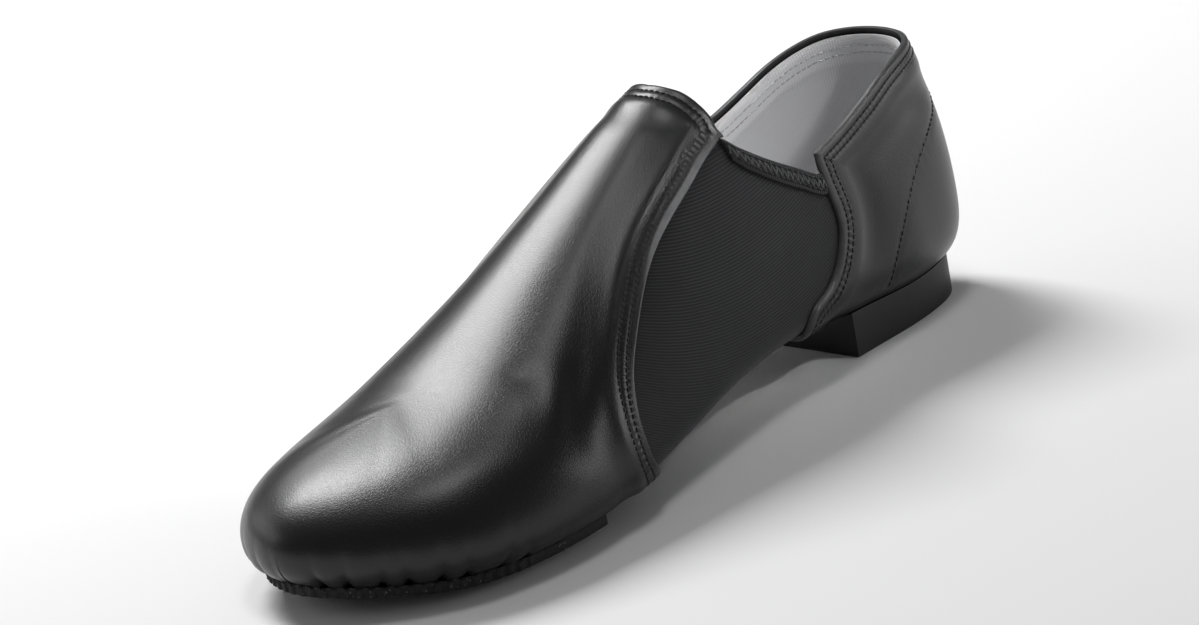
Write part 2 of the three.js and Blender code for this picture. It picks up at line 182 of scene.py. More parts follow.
@dataclass(frozen=True)
class Last:
    """The shoe's form: the outside of its leather, from a short table of sections."""

    length: float = 248 * MM
    ball_width: float = 86 * MM
    heel_width: float = 52 * MM
    instep_height: float = 86 * MM
    rim_height: float = 72 * MM
    toe_spring: float = 5 * MM
    heel_height: float = 8 * MM
    sole_thickness: float = 2.4 * MM
    piece_gap: float = 0.3 * MM
    heel_opening_end: float = 0.24
    fore_opening_start: float = 0.63
    opening_round: float = 0.12
    opening_level: float = -0.6
    underside_run: float = 0.82
    underside_drop: float = 0.82
    side_fullness: float = 0.85
    outer_fullness: float = 0.05
    crest_step: float = 0.03

    # Columns: wide_x, ball_part, outer, inner, under_x, heel_part, sole_part, spring, rise, bow,
    # crest_x, crest, top_rise, top_run. A row is a section, from the heel's back to the toe's tip.
    COLUMNS = (
        "wide_x", "ball_part", "outer", "inner", "under_x", "heel_part", "sole_part", "spring",
        "rise", "bow", "crest_x", "crest", "top_rise", "top_run",
    )
    SECTIONS = (
        (0.000, 0.00, 0.00, 0.00, 0.110, 1.00, 0.00, 0.00, 0.229, 0.000, 0.170, 1.370, 0.55, 0.55),
        (0.012, 0.00, 0.46, 0.46, 0.120, 1.00, 0.00, 0.00, 0.223, 0.000, 0.180, 1.370, 0.55, 0.55),
        (0.048, 0.00, 0.77, 0.77, 0.140, 1.00, 0.00, 0.00, 0.211, 0.000, 0.200, 1.370, 0.55, 0.55),
        (0.120, 0.00, 0.94, 0.92, 0.180, 1.00, 0.00, 0.00, 0.200, 0.000, 0.240, 1.350, 0.55, 0.55),
        (0.220, 0.00, 1.00, 0.97, 0.250, 1.20, 0.00, 0.00, 0.176, 0.000, 0.300, 1.270, 0.56, 0.60),
        (0.330, 0.10, 1.03, 0.96, 0.340, 1.32, 0.10, 0.00, 0.162, 0.001, 0.370, 1.050, 0.65, 0.76),
        (0.440, 0.35, 1.02, 0.92, 0.445, 1.03, 0.35, 0.00, 0.166, 0.003, 0.450, 0.960, 0.60, 0.74),
        (0.550, 0.70, 1.00, 0.89, 0.550, 0.40, 0.75, 0.00, 0.172, 0.006, 0.545, 0.825, 0.57, 0.70),
        (0.650, 1.00, 0.99, 0.89, 0.650, 0.00, 1.00, 0.00, 0.162, 0.011, 0.635, 0.698, 0.55, 0.65),
        (0.740, 1.00, 1.04, 0.96, 0.735, 0.00, 1.00, 0.00, 0.138, 0.013, 0.710, 0.592, 0.58, 0.62),
        (0.820, 1.00, 1.01, 0.95, 0.800, 0.00, 1.00, 0.05, 0.125, 0.010, 0.765, 0.517, 0.62, 0.62),
        (0.890, 1.00, 0.91, 0.83, 0.840, 0.00, 1.00, 0.20, 0.120, -0.008, 0.800, 0.4785, 0.65, 0.62),
        (0.945, 1.00, 0.67, 0.63, 0.860, 0.00, 1.00, 0.45, 0.118, -0.024, 0.820, 0.4615, 0.65, 0.64),
        (0.983, 1.00, 0.35, 0.36, 0.870, 0.00, 1.00, 0.65, 0.118, -0.026, 0.830, 0.4535, 0.64, 0.66),
        (1.000, 1.00, 0.00, 0.00, 0.875, 0.00, 1.00, 0.75, 0.118, -0.026, 0.835, 0.4495, 0.64, 0.66),
    )

    # Share of the length, share of the instep's or the rim's height
    GORE_LINE = (
        (0.00, 0.54), (0.12, 0.575), (0.26, 0.63), (0.295, 0.685), (0.335, 0.757), (0.364, 0.82),
        (0.384, 0.87), (0.44, 0.87), (0.52, 0.815), (0.62, 0.67), (0.72, 0.52), (0.82, 0.415),
        (0.92, 0.355), (1.00, 0.30),
    )
    RIM_LINE = (
        (0.00, 1.01), (0.05, 1.015), (0.09, 1.00), (0.13, 0.97), (0.175, 0.915), (0.22, 0.865),
        (0.27, 0.825),
    )

    # Row round the section, 1 at the gore line, 2 at the rim or crest; share of the length
    QUARTER_EDGE = (
        (0.00, 0.300), (0.33, 0.325), (0.50, 0.328), (0.66, 0.318), (0.76, 0.293), (0.84, 0.265),
        (0.91, 0.250), (1.00, 0.260), (2.00, 0.262),
    )
    VAMP_EDGE = (
        (0.00, 0.605), (0.38, 0.624), (0.58, 0.646), (0.68, 0.648), (0.76, 0.626), (0.82, 0.574),
        (0.88, 0.497), (0.94, 0.430), (1.00, 0.382), (1.12, 0.379), (1.26, 0.377), (1.45, 0.379),
        (1.64, 0.382), (1.80, 0.386), (2.00, 0.389),
    )

    def section(self, u: np.ndarray) -> dict[str, np.ndarray]:
        """Named values of the sections at u, on a smooth curve through the table's rows.

        Args:
            u: 0 at the back of the heel, 1 at the tip of the toe.

        Returns:
            One array for each column of the table.
        """
        table = np.array(self.SECTIONS)
        flip = np.array([-1.0 if name in ("outer", "inner") else 1.0 for name in self.COLUMNS])
        table = np.vstack([table[1] * flip, table, table[-2] * flip])
        last = len(self.SECTIONS) - 1
        place = np.clip(u, 0.0, 1.0) * last
        first = np.minimum(np.floor(place).astype(int), last - 1)
        t = (place - first)[..., None]
        a, b, c, d = (table[first + step] for step in range(4))
        value = b + 0.5 * t * (c - a + t * (2 * a - 5 * b + 4 * c - d + t * (3 * (b - c) + d - a)))
        return {name: value[..., index] for index, name in enumerate(self.COLUMNS)}

    def crest(self, u: np.ndarray) -> np.ndarray:
        """Middle of the crest at u."""
        s = self.section(u)
        parts = (
            s["crest_x"] * self.length,
            s["bow"] * self.ball_width,
            s["crest"] * self.instep_height,
        )
        return np.stack(parts, axis=-1)

    def curves(self, side: int, u: np.ndarray) -> tuple[np.ndarray, np.ndarray]:
        """Control points of a section's lower and upper curve on one side.

        Args:
            side: +1 for the outer side, -1 for the inner one.
            u: Places along the shoe.

        Returns:
            Two arrays with four points for each u: underside to widest place, and on to the crest.
        """
        s = self.section(u)
        half = (self.heel_width + (self.ball_width - self.heel_width) * s["ball_part"]) / 2
        reach = side * half * (s["outer"] if side > 0 else s["inner"])
        middle = s["bow"] * self.ball_width
        under_z = (
            s["heel_part"] * self.heel_height
            + s["sole_part"] * self.sole_thickness
            + s["spring"] * self.toe_spring
            + self.piece_gap
        )
        under = np.stack([s["under_x"] * self.length, middle, under_z], axis=-1)
        wide_z = under_z + s["rise"] * self.ball_width
        wide = np.stack([s["wide_x"] * self.length, middle + reach, wide_z], axis=-1)
        crest = self.crest(u)
        run = self.crest(u + self.crest_step) - self.crest(u - self.crest_step)
        slope = np.where(run[..., 0] > TINY, run[..., 2] / np.maximum(run[..., 0], TINY), 0.0)
        under_out = (wide - under) * np.array([1.0, 1.0, 0.0])
        crest_out = (wide - crest) * np.array([1.0, 1.0, 0.0])
        crest_out[..., 2] = slope * crest_out[..., 0]
        up = np.array([0.0, 0.0, 1.0])
        fullness = self.side_fullness + side * self.outer_fullness * 4 * u * (1 - u)
        drop = (self.underside_drop * (wide_z - under_z))[..., None] * up
        rise = (s["top_rise"] * fullness * (crest[..., 2] - wide_z))[..., None] * up
        spread = (s["top_run"] * fullness)[..., None] * crest_out
        low = np.stack([under, under + self.underside_run * under_out, wide - drop, wide], axis=-2)
        high = np.stack([wide, wide + rise, crest + spread, crest], axis=-2)
        return low, high

    def raw_points(self, side: int, u: np.ndarray, v: np.ndarray) -> np.ndarray:
        """Points of the form on one side, still measured from the back of the heel.

        Args:
            side: +1 or -1.
            u: Places along the shoe.
            v: -1 at the middle of the underside, 0 at the widest place, 1 at the crest.

        Returns:
            One point for each place.
        """
        low, high = self.curves(side, u)
        points = np.where((v < 0)[..., None, None], low, high)
        t = np.where(v < 0, v + 1, v)
        s = 1 - t
        weights = np.stack([s**3, 3 * s * s * t, 3 * s * t * t, t**3], axis=-1)
        return np.sum(points * weights[..., None], axis=-2)

    def side_normals(self, side: int, u: np.ndarray, v: np.ndarray) -> np.ndarray:
        """Outward directions of one side's surface alone."""
        step = 0.002
        ahead = self.raw_points(side, np.minimum(u + step, 1.0), v)
        behind = self.raw_points(side, np.maximum(u - step, 0.0), v)
        above = self.raw_points(side, u, np.minimum(v + step, 1.0))
        below = self.raw_points(side, u, np.maximum(v - step, -1.0))
        return side * unit(np.cross(above - below, ahead - behind))

    def normals(self, places: Places) -> np.ndarray:
        """Outward directions; where both sides meet it is the mean of the two."""
        inset = 0.02
        on_end = (places.u <= 0) | (places.u >= 1)
        on_middle = np.abs(places.v) >= 1
        near_u = np.where(on_end, np.clip(places.u, inset / 4, 1 - inset / 4), places.u)
        near_v = np.where(on_middle, np.clip(places.v, inset - 1, 1 - inset), places.v)
        own = self.side_normals(places.side, near_u, near_v)
        both = own + self.side_normals(-places.side, near_u, near_v)
        return unit(np.where((on_end | on_middle)[..., None], both, own))

    def points(self, places: Places) -> np.ndarray:
        """Points of the form, still measured from the back of the heel."""
        return self.raw_points(places.side, places.u, places.v)

    def low_levels(self, u: np.ndarray) -> np.ndarray:
        """Level of the lower edge: an opening's edge, or the underside's middle at the arch."""
        near_heel = (self.heel_opening_end - u) / self.opening_round
        near_toe = (u - self.fore_opening_start) / self.opening_round
        is_open = np.clip(np.maximum(near_heel, near_toe), 0.0, 1.0)
        return -1 + (self.opening_level + 1) * np.sqrt(is_open)

    def line_levels(
        self,
        side: int,
        u: np.ndarray,
        line: tuple[tuple[float, float], ...],
        height: float,
        drop: float = 0.0,
    ) -> np.ndarray:
        """Levels at which the sections reach a line drawn on the shoe's side.

        Args:
            side: +1 or -1.
            u: Places along the shoe.
            line: Rows of share of the length and share of height.
            height: The height that the line's second column is a share of.
            drop: How far below the line to stay.

        Returns:
            A level for each u.
        """
        return np.interp(u, *self._level_table(side, line, height, drop))

    @lru_cache(maxsize=None)
    def _level_table(
        self,
        side: int,
        line: tuple[tuple[float, float], ...],
        height: float,
        drop: float,
    ) -> tuple[np.ndarray, np.ndarray]:
        """Places u along the shoe and the level of a drawn line at each, worked out once."""
        samples = np.linspace(0.0, 1.0, 701)

        def above(v: np.ndarray) -> np.ndarray:
            points = self.raw_points(side, samples, v)
            return points[..., 2] + drop - smooth_value(line, points[..., 0] / self.length) * height

        return samples, bisect(np.zeros_like(samples), np.ones_like(samples), above)

    def quarter_levels(self, side: int, u: np.ndarray, row: np.ndarray, drop: float = 0.0) -> np.ndarray:
        """Levels of the quarter's rows: up to 1 at the gore line, on to 2 at the rim.

        Args:
            side: +1 or -1.
            u: Places along the shoe.
            row: Which row, 0 to 2.
            drop: How far below the gore line and the rim the rows stay.

        Returns:
            A level for each place.
        """
        gore = self.line_levels(side, u, self.GORE_LINE, self.instep_height, drop)
        rim = self.line_levels(side, u, self.RIM_LINE, self.rim_height, drop)
        low = self.low_levels(u)
        return np.where(row <= 1, low + (gore - low) * row, gore + (rim - gore) * (row - 1))

    def vamp_levels(self, side: int, u: np.ndarray, row: np.ndarray, drop: float = 0.0) -> np.ndarray:
        """Levels of the vamp's rows: up to 1 at the gore line, on to 2 at the crest."""
        gore = self.line_levels(side, u, self.GORE_LINE, self.instep_height, drop)
        low = self.low_levels(u)
        return np.where(row <= 1, low + (gore - low) * row, gore + (1 - gore) * (row - 1))

    def crossing(
        self,
        side: int,
        levels: Callable[[np.ndarray], np.ndarray],
        x: np.ndarray,
    ) -> np.ndarray:
        """Where lines of given level pass distances x from the back of the heel.

        Args:
            side: +1 or -1.
            levels: Level of the lines at each u.
            x: A distance for each line.

        Returns:
            A place u for each line.
        """
        return bisect(
            np.zeros_like(x),
            np.ones_like(x),
            lambda u: self.raw_points(side, u, levels(u))[..., 0] - x,
        )

    def quarter_front(self, side: int, row: np.ndarray, shift: float = 0.0, drop: float = 0.0) -> np.ndarray:
        """Front edge of the quarter, as a place u for each row."""
        x = smooth_value(self.QUARTER_EDGE, row) * self.length + shift
        return self.crossing(side, lambda u: self.quarter_levels(side, u, row, drop), x)

    def vamp_rear(self, side: int, row: np.ndarray, shift: float = 0.0, drop: float = 0.0) -> np.ndarray:
        """Rear edge of the vamp, beside the gore and over the instep, as a place u for each row."""
        x = smooth_value(self.VAMP_EDGE, row) * self.length + shift
        return self.crossing(side, lambda u: self.vamp_levels(side, u, row, drop), x)

    def locate(self, side: int, x: np.ndarray, z: np.ndarray) -> Places:
        """Places on one side with given distances from the heel's back and heights."""

        def along(v: np.ndarray) -> np.ndarray:
            return self.crossing(side, lambda u: v, x)

        def above(v: np.ndarray) -> np.ndarray:
            return self.raw_points(side, along(v), v)[..., 2] - z

        v = bisect(np.full_like(x, -0.7), np.full_like(x, 0.98), above)
        return Places(side, along(v), v)


LAST = Last()


@dataclass
class Grid:
    """A grid of places on one side with their points and outward directions."""

    places: Places
    points: np.ndarray = field(init=False)
    normals: np.ndarray = field(init=False)

    def __post_init__(self) -> None:
        """Works out the points and directions."""
        self.points = LAST.points(self.places)
        self.normals = LAST.normals(self.places)

    @property
    def side(self) -> int:
        """+1 on the outer side, -1 on the inner one."""
        return self.places.side

    def lifted(self, lift: np.ndarray | float) -> np.ndarray:
        """The points moved outward by lift."""
        return self.points + self.normals * np.asarray(lift)[..., None]


def zone(
    side: int,
    start: np.ndarray,
    end: np.ndarray,
    rows: np.ndarray,
    shares: np.ndarray,
    levels: Callable[[np.ndarray, np.ndarray], np.ndarray],
) -> Grid:
    """Grid between two edges.

    Args:
        side: +1 or -1.
        start: Place u where each row starts.
        end: Place u where each row ends.
        rows: The rows' own numbers.
        shares: Where the columns stand between start and end, 0 to 1.
        levels: Level for arrays of u and row.

    Returns:
        The grid, row by row.
    """
    u = start[:, None] + (end - start)[:, None] * shares[None, :]
    row = np.broadcast_to(rows[:, None], u.shape)
    return Grid(Places(side, u, levels(u, row)))


def packed_shares(count: int, packed: int, at_start: float = 0.0, at_end: float = 0.0) -> np.ndarray:
    """Shares from 0 to 1 that crowd near the ends.

    Args:
        count: How many steps in all.
        packed: How many of them lie in each crowded end.
        at_start: The crowded share at the start, 0 for none.
        at_end: The crowded share at the end, 0 for none.

    Returns:
        count + 1 rising values.
    """
    head = np.linspace(0.0, at_start, packed + 1)[:-1] if at_start else np.array([])
    tail = np.linspace(1.0 - at_end, 1.0, packed + 1)[1:] if at_end else np.array([])
    body = np.linspace(at_start, 1.0 - at_end, count + 1 - len(head) - len(tail))
    return np.concatenate([head, body, tail])


@dataclass
class Border:
    """A line on the form that tells how far off a point is, and how far along."""

    SLIDE = 0.2 * MM

    points: np.ndarray
    tree: KDTree = field(init=False)
    along: np.ndarray = field(init=False)
    tangents: np.ndarray = field(init=False)

    def __post_init__(self) -> None:
        """Fills the tree and measures the line."""
        self.tree = KDTree(len(self.points))
        for index, point in enumerate(self.points):
            self.tree.insert(Vector(point), index)
        self.tree.balance()
        self.along = run_along(self.points)
        self.tangents = unit(np.gradient(self.points, axis=0))

    def measure(self, points: np.ndarray) -> tuple[np.ndarray, np.ndarray]:
        """Distance from the line, and the distance along it to the nearest place.

        Args:
            points: The points to measure, in any shape.

        Returns:
            Two arrays, without the last axis of points.
        """
        flat = points.reshape(-1, 3)
        nearest = np.array([self.tree.find(Vector(point))[1] for point in flat])
        offset = flat - self.points[nearest]
        slide = np.clip((offset * self.tangents[nearest]).sum(1), -self.SLIDE, self.SLIDE)
        distance = np.linalg.norm(offset - self.tangents[nearest] * slide[:, None], axis=1)
        along = self.along[nearest] + slide
        return distance.reshape(points.shape[:-1]), along.reshape(points.shape[:-1])


def dense_line(points: np.ndarray, spacing: float = 0.25 * MM) -> np.ndarray:
    """The line through the points with one every spacing."""
    along = run_along(points)
    wanted = np.linspace(0.0, along[-1], max(int(along[-1] / spacing), 2))
    return read_line(wanted, along, points)


def contour(grid: Grid, values: np.ndarray, level: float, by_row: bool) -> Places:
    """Where each row, or each column, first passes a level of a value known on the grid.

    Args:
        grid: The grid.
        values: The value at each of its points.
        level: The level to find.
        by_row: Whether to walk along rows; otherwise along columns.

    Returns:
        The places found, in order.
    """
    u, v, w = grid.places.u, grid.places.v, values - level
    if not by_row:
        u, v, w = u.T, v.T, w.T
    found_u, found_v = [], []
    for line_u, line_v, line_w in zip(u, v, w):
        change = np.nonzero(line_w[:-1] * line_w[1:] < 0)[0]
        if len(change):
            first = change[0] if abs(line_w[0]) < abs(line_w[-1]) else change[-1]
            t = line_w[first] / (line_w[first] - line_w[first + 1])
            found_u.append(line_u[first] + t * (line_u[first + 1] - line_u[first]))
            found_v.append(line_v[first] + t * (line_v[first + 1] - line_v[first]))
    return Places(grid.side, np.array(found_u), np.array(found_v))


def joined(first: Places, second: Places) -> Places:
    """Two runs of places one after the other."""
    return Places(
        first.side,
        np.concatenate([first.u, second.u]),
        np.concatenate([first.v, second.v]),
    )


class Frame:
    """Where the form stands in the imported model's frame."""

    def __init__(self) -> None:
        """Sets the form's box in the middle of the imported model's box."""
        low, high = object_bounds()
        self.cad_box = (list(low), list(high))
        samples = np.linspace(0.0, 1.0, 161)
        u, v = np.meshgrid(samples, np.linspace(-0.6, 0.9, 61))
        points = np.concatenate([LAST.raw_points(side, u, v).reshape(-1, 3) for side in SIDES])
        middle = (points.min(axis=0) + points.max(axis=0)) / 2
        wanted = (np.array(low) + np.array(high)) / 2
        self.shift = np.array([wanted[0] - middle[0], wanted[1] - middle[1], 0.0])

    def place(self, points: np.ndarray) -> np.ndarray:
        """Points measured from the heel's back, moved into the frame."""
        return points + self.shift


FRAME = Frame()


def object_from(
    name: str,
    points: np.ndarray,
    faces: Sequence[Sequence[int]],
    attributes: dict[str, np.ndarray] | None = None,
    sharp_angle: float = 50.0,
) -> bpy.types.Object:
    """Smooth mesh object from points measured from the heel's back.

    Args:
        name: The object's name.
        points: Its vertices.
        faces: Its faces.
        attributes: Values or vectors kept on the vertices, by name.
        sharp_angle: Degrees past which an edge stays sharp.

    Returns:
        The object, linked to the scene.
    """
    mesh = bpy.data.meshes.new(name)
    mesh.from_pydata(FRAME.place(points).tolist(), [], [list(face) for face in faces])
    for key, values in (attributes or {}).items():
        is_vector = values.ndim == 2
        layer = mesh.attributes.new(key, "FLOAT_VECTOR" if is_vector else "FLOAT", "POINT")
        layer.data.foreach_set("vector" if is_vector else "value", values.astype(np.float32).ravel())
    work = bmesh.new()
    work.from_mesh(mesh)
    bmesh.ops.recalc_face_normals(work, faces=work.faces)
    work.to_mesh(mesh)
    work.free()
    mesh.shade_smooth()
    mesh.set_sharp_from_angle(angle=math.radians(sharp_angle))
    piece = bpy.data.objects.new(name, mesh)
    bpy.context.scene.collection.objects.link(piece)
    return piece


def welded(points: np.ndarray, faces: np.ndarray) -> tuple[np.ndarray, list[list[int]]]:
    """Joins points in the same place.

    Args:
        points: All the points.
        faces: Corner numbers of the faces between them.

    Returns:
        The numbers of the points that stay, and the faces between those, without the empty ones.
    """
    keys = np.round(points / WELD).astype(np.int64)
    _, first, index = np.unique(keys, axis=0, return_index=True, return_inverse=True)
    index = index.reshape(-1)
    cells = [list(dict.fromkeys(index[face])) for face in faces]
    return first, [cell for cell in cells if len(cell) > 2]


def free_edges(cells: Sequence[Sequence[int]]) -> list[tuple[int, int]]:
    """Edges with a face on one side only, in that face's turning direction."""
    directed = {(cell[i - 1], cell[i]) for cell in cells for i in range(len(cell))}
    return [(a, b) for a, b in directed if (b, a) not in directed]


@dataclass
class Shell:
    """A closed wall between an outer and an inner face over joined grids."""

    name: str
    grids: list[Grid] = field(default_factory=list)
    outer: list[np.ndarray] = field(default_factory=list)
    inner: list[np.ndarray] = field(default_factory=list)
    values: dict[str, list[np.ndarray]] = field(default_factory=dict)

    def add(self, grid: Grid, outer: np.ndarray, inner: np.ndarray, **values: np.ndarray) -> None:
        """Adds a grid with its outer and inner points and values to keep on both faces."""
        self.grids.append(grid)
        self.outer.append(outer)
        self.inner.append(inner)
        for key, value in values.items():
            self.values.setdefault(key, []).append(value)

    @staticmethod
    def quads(rows: int, columns: int, offset: int, side: int) -> np.ndarray:
        """Corner numbers of a grid's cells, seen from outside in one turning direction."""
        number = np.arange(rows * columns).reshape(rows, columns) + offset
        corners = [number[:-1, :-1], number[1:, :-1], number[1:, 1:], number[:-1, 1:]]
        faces = np.stack(corners, axis=-1).reshape(-1, 4)
        return faces if side > 0 else faces[:, ::-1]

    def build(self) -> bpy.types.Object:
        """Welds the grids, closes the wall along its free edges and makes the object."""
        outer = np.concatenate([points.reshape(-1, 3) for points in self.outer])
        inner = np.concatenate([points.reshape(-1, 3) for points in self.inner])
        faces, offset = [], 0
        for grid in self.grids:
            rows, columns = grid.places.u.shape
            faces.append(self.quads(rows, columns, offset, grid.side))
            offset += rows * columns
        first, cells = welded(outer, np.concatenate(faces))
        outer, inner = outer[first], inner[first]
        count = len(outer)
        every = list(cells)
        every += [[count + corner for corner in reversed(cell)] for cell in cells]
        every += [[b, a, count + a, count + b] for a, b in free_edges(cells)]
        kept = {
            key: np.concatenate([np.asarray(v).reshape(-1, *v.shape[2:]) for v in parts])[first]
            for key, parts in self.values.items()
        }
        kept = {key: np.concatenate([value, value]) for key, value in kept.items()}
        return object_from(self.name, np.concatenate([outer, inner]), every, kept)


class Socket:
    """A shader socket that can be used in Python sums; numbers are values, not colours."""

    def __init__(self, graph: "Graph", socket: bpy.types.NodeSocket) -> None:
        """Keeps the socket and the graph that it is in."""
        self.graph = graph
        self.socket = socket

    def _math(self, operation: str, *values: "Socket | float") -> "Socket":
        """A Math node on these values."""
        return self.graph.node("ShaderNodeMath", {"operation": operation}, dict(enumerate(values)))

    def __add__(self, other: "Socket | float") -> "Socket":
        """self + other."""
        return self._math("ADD", self, other)

    def __radd__(self, other: float) -> "Socket":
        """other + self."""
        return self._math("ADD", other, self)

    def __sub__(self, other: "Socket | float") -> "Socket":
        """self - other."""
        return self._math("SUBTRACT", self, other)

    def __rsub__(self, other: float) -> "Socket":
        """other - self."""
        return self._math("SUBTRACT", other, self)

    def __mul__(self, other: "Socket | float") -> "Socket":
        """self * other."""
        return self._math("MULTIPLY", self, other)

    def __rmul__(self, other: float) -> "Socket":
        """other * self."""
        return self._math("MULTIPLY", other, self)

    def __pow__(self, power: float) -> "Socket":
        """self to a power."""
        return self._math("POWER", self, power)

    def sine(self) -> "Socket":
        """Sine of an angle in radians."""
        return self._math("SINE", self)

    def clamped(self) -> "Socket":
        """The value held between 0 and 1."""
        low = self._math("MAXIMUM", self, 0.0)
        return low._math("MINIMUM", low, 1.0)

    def between(self, low: float, high: float) -> "Socket":
        """0 below low, 1 above high and a soft slope between them."""
        settings = {"interpolation_type": "SMOOTHSTEP"}
        sockets = {"Value": self, "From Min": low, "From Max": high}
        return self.graph.node("ShaderNodeMapRange", settings, sockets)


Colour = tuple[float, float, float]


class Graph:
    """A material's nodes, made through a few plain methods."""

    def __init__(self, name: str) -> None:
        """Makes a material with a Principled shader."""
        self.material = bpy.data.materials.new(name)
        self.material.use_nodes = True
        self.tree = self.material.node_tree
        self.shader = self.tree.nodes["Principled BSDF"]

    def feed(self, target: bpy.types.NodeSocket, value: object) -> None:
        """Links a socket to target, or sets its value."""
        if isinstance(value, Socket):
            self.tree.links.new(value.socket, target)
        elif isinstance(value, tuple) and len(value) == 3 and target.type == "RGBA":
            target.default_value = (*value, 1.0)
        else:
            target.default_value = value

    def node(self, kind: str, settings: dict[str, object], sockets: dict, output: int | str = 0) -> Socket:
        """Any node.

        Args:
            kind: The node's type name.
            settings: Its own settings, set before the sockets.
            sockets: Values or links by socket name or number.
            output: Which output to return.

        Returns:
            The output.
        """
        made = self.tree.nodes.new(kind)
        for key, value in settings.items():
            setattr(made, key, value)
        for key, value in sockets.items():
            self.feed(made.inputs[key], value)
        return Socket(self, made.outputs[output])

    def set(self, **sockets: object) -> None:
        """Sets the shader's sockets, with underscores for spaces in their names."""
        for key, value in sockets.items():
            self.feed(self.shader.inputs[key.replace("_", " ")], value)

    def position(self) -> Socket:
        """The place on the shoe, in metres."""
        return self.node("ShaderNodeTexCoord", {}, {}, "Object")

    def kept(self, name: str, is_vector: bool = False) -> Socket:
        """A value or vector kept on the mesh."""
        output = "Vector" if is_vector else "Fac"
        return self.node("ShaderNodeAttribute", {"attribute_name": name}, {}, output)

    def noise(
        self, scale: float, detail: float = 3.0, vector: Socket | None = None, roughness: float = 0.5
    ) -> Socket:
        """Noise from 0 to 1, with scale in cycles for each metre."""
        sockets = {
            "Vector": vector or self.position(),
            "Scale": scale,
            "Detail": detail,
            "Roughness": roughness,
        }
        return self.node("ShaderNodeTexNoise", {}, sockets, "Fac")

    def cells(self, scale: float, vector: Socket | None = None) -> Socket:
        """Distance to the nearest cell border, for pebbled grain."""
        settings = {"feature": "DISTANCE_TO_EDGE"}
        sockets = {"Vector": vector or self.position(), "Scale": scale}
        return self.node("ShaderNodeTexVoronoi", settings, sockets, "Distance")

    def stretched(self, vector: Socket, scale: tuple[float, float, float]) -> Socket:
        """A vector scaled along each axis."""
        settings = {"operation": "MULTIPLY"}
        return self.node("ShaderNodeVectorMath", settings, {0: vector, 1: scale}, "Vector")

    def axis(self, vector: Socket, name: str) -> Socket:
        """One axis of a vector."""
        return self.node("ShaderNodeSeparateXYZ", {}, {0: vector}, name)

    def mix(self, share: Socket | float, first: "Socket | Colour", second: "Socket | Colour") -> Socket:
        """Colour between two others."""
        settings = {"data_type": "RGBA"}
        return self.node("ShaderNodeMix", settings, {0: share, 6: first, 7: second}, 2)

    def bump(self, height: Socket, depth: float, normal: Socket | None = None) -> Socket:
        """Surface direction from a height of 0 to 1 and a depth in metres."""
        sockets = {"Height": height, "Distance": depth, "Strength": 1.0}
        if normal is not None:
            sockets["Normal"] = normal
        return self.node("ShaderNodeBump", {}, sockets, "Normal")


@dataclass(frozen=True)
class Leather:
    """Black semi-gloss leather with fine grain, with a painted highlight where a folded edge catches the
    light.
    """

    name: str = "leather"
    colour: Colour = (0.0075, 0.0075, 0.008)
    # Colour of the painted highlight along the folded edges
    edge_colour: Colour = (0.17, 0.17, 0.175)
    roughness: float = 0.32
    grain_scale: float = 1900.0
    grain_depth: float = 0.034 * MM
    pebble_scale: float = 1300.0
    pebble_depth: float = 0.016 * MM
    pebble_edge: float = 0.22
    pucker_pitch: float = 1.7 * MM
    pucker_depth: float = 0.17 * MM
    specular: float = 0.34
    coat: float = 0.16
    coat_roughness: float = 0.25

    def dress(self) -> bpy.types.Material:
        """The material."""
        g = Graph(self.name)
        place = g.position()
        broad = g.noise(28.0, 2.0)
        pebbles = g.cells(self.pebble_scale, place).between(0.0, self.pebble_edge)
        wrinkles = g.noise(self.grain_scale, 4.0, g.stretched(place, (1.0, 1.0, 1.8)), 0.6)
        # Painted highlight: the folded edges' paler strip, mottled with noise, mixed into the base colour
        worn = g.kept("pale") * (0.55 + g.noise(420.0, 3.0) * 0.9)
        base = g.mix(worn.clamped(), self.colour, self.edge_colour)
        rough = self.roughness + (broad - 0.5) * 0.05 + (wrinkles - 0.5) * 0.06 + g.kept("pale") * 0.2
        sewn = g.kept("sewn", True)
        beat = (g.axis(sewn, "Y") * (2 * math.pi / self.pucker_pitch)).sine() * 0.5 + 0.5
        puckers = g.axis(sewn, "X") * (beat * 0.8 + g.noise(700.0, 2.0) * 0.4)
        normal = g.bump(wrinkles, self.grain_depth, g.bump(pebbles, self.pebble_depth))
        normal = g.bump(puckers, self.pucker_depth, normal)
        g.set(Base_Color=base, Roughness=rough, Normal=normal, Specular_IOR_Level=self.specular)
        g.set(Coat_Weight=self.coat, Coat_Roughness=self.coat_roughness)
        return g.material


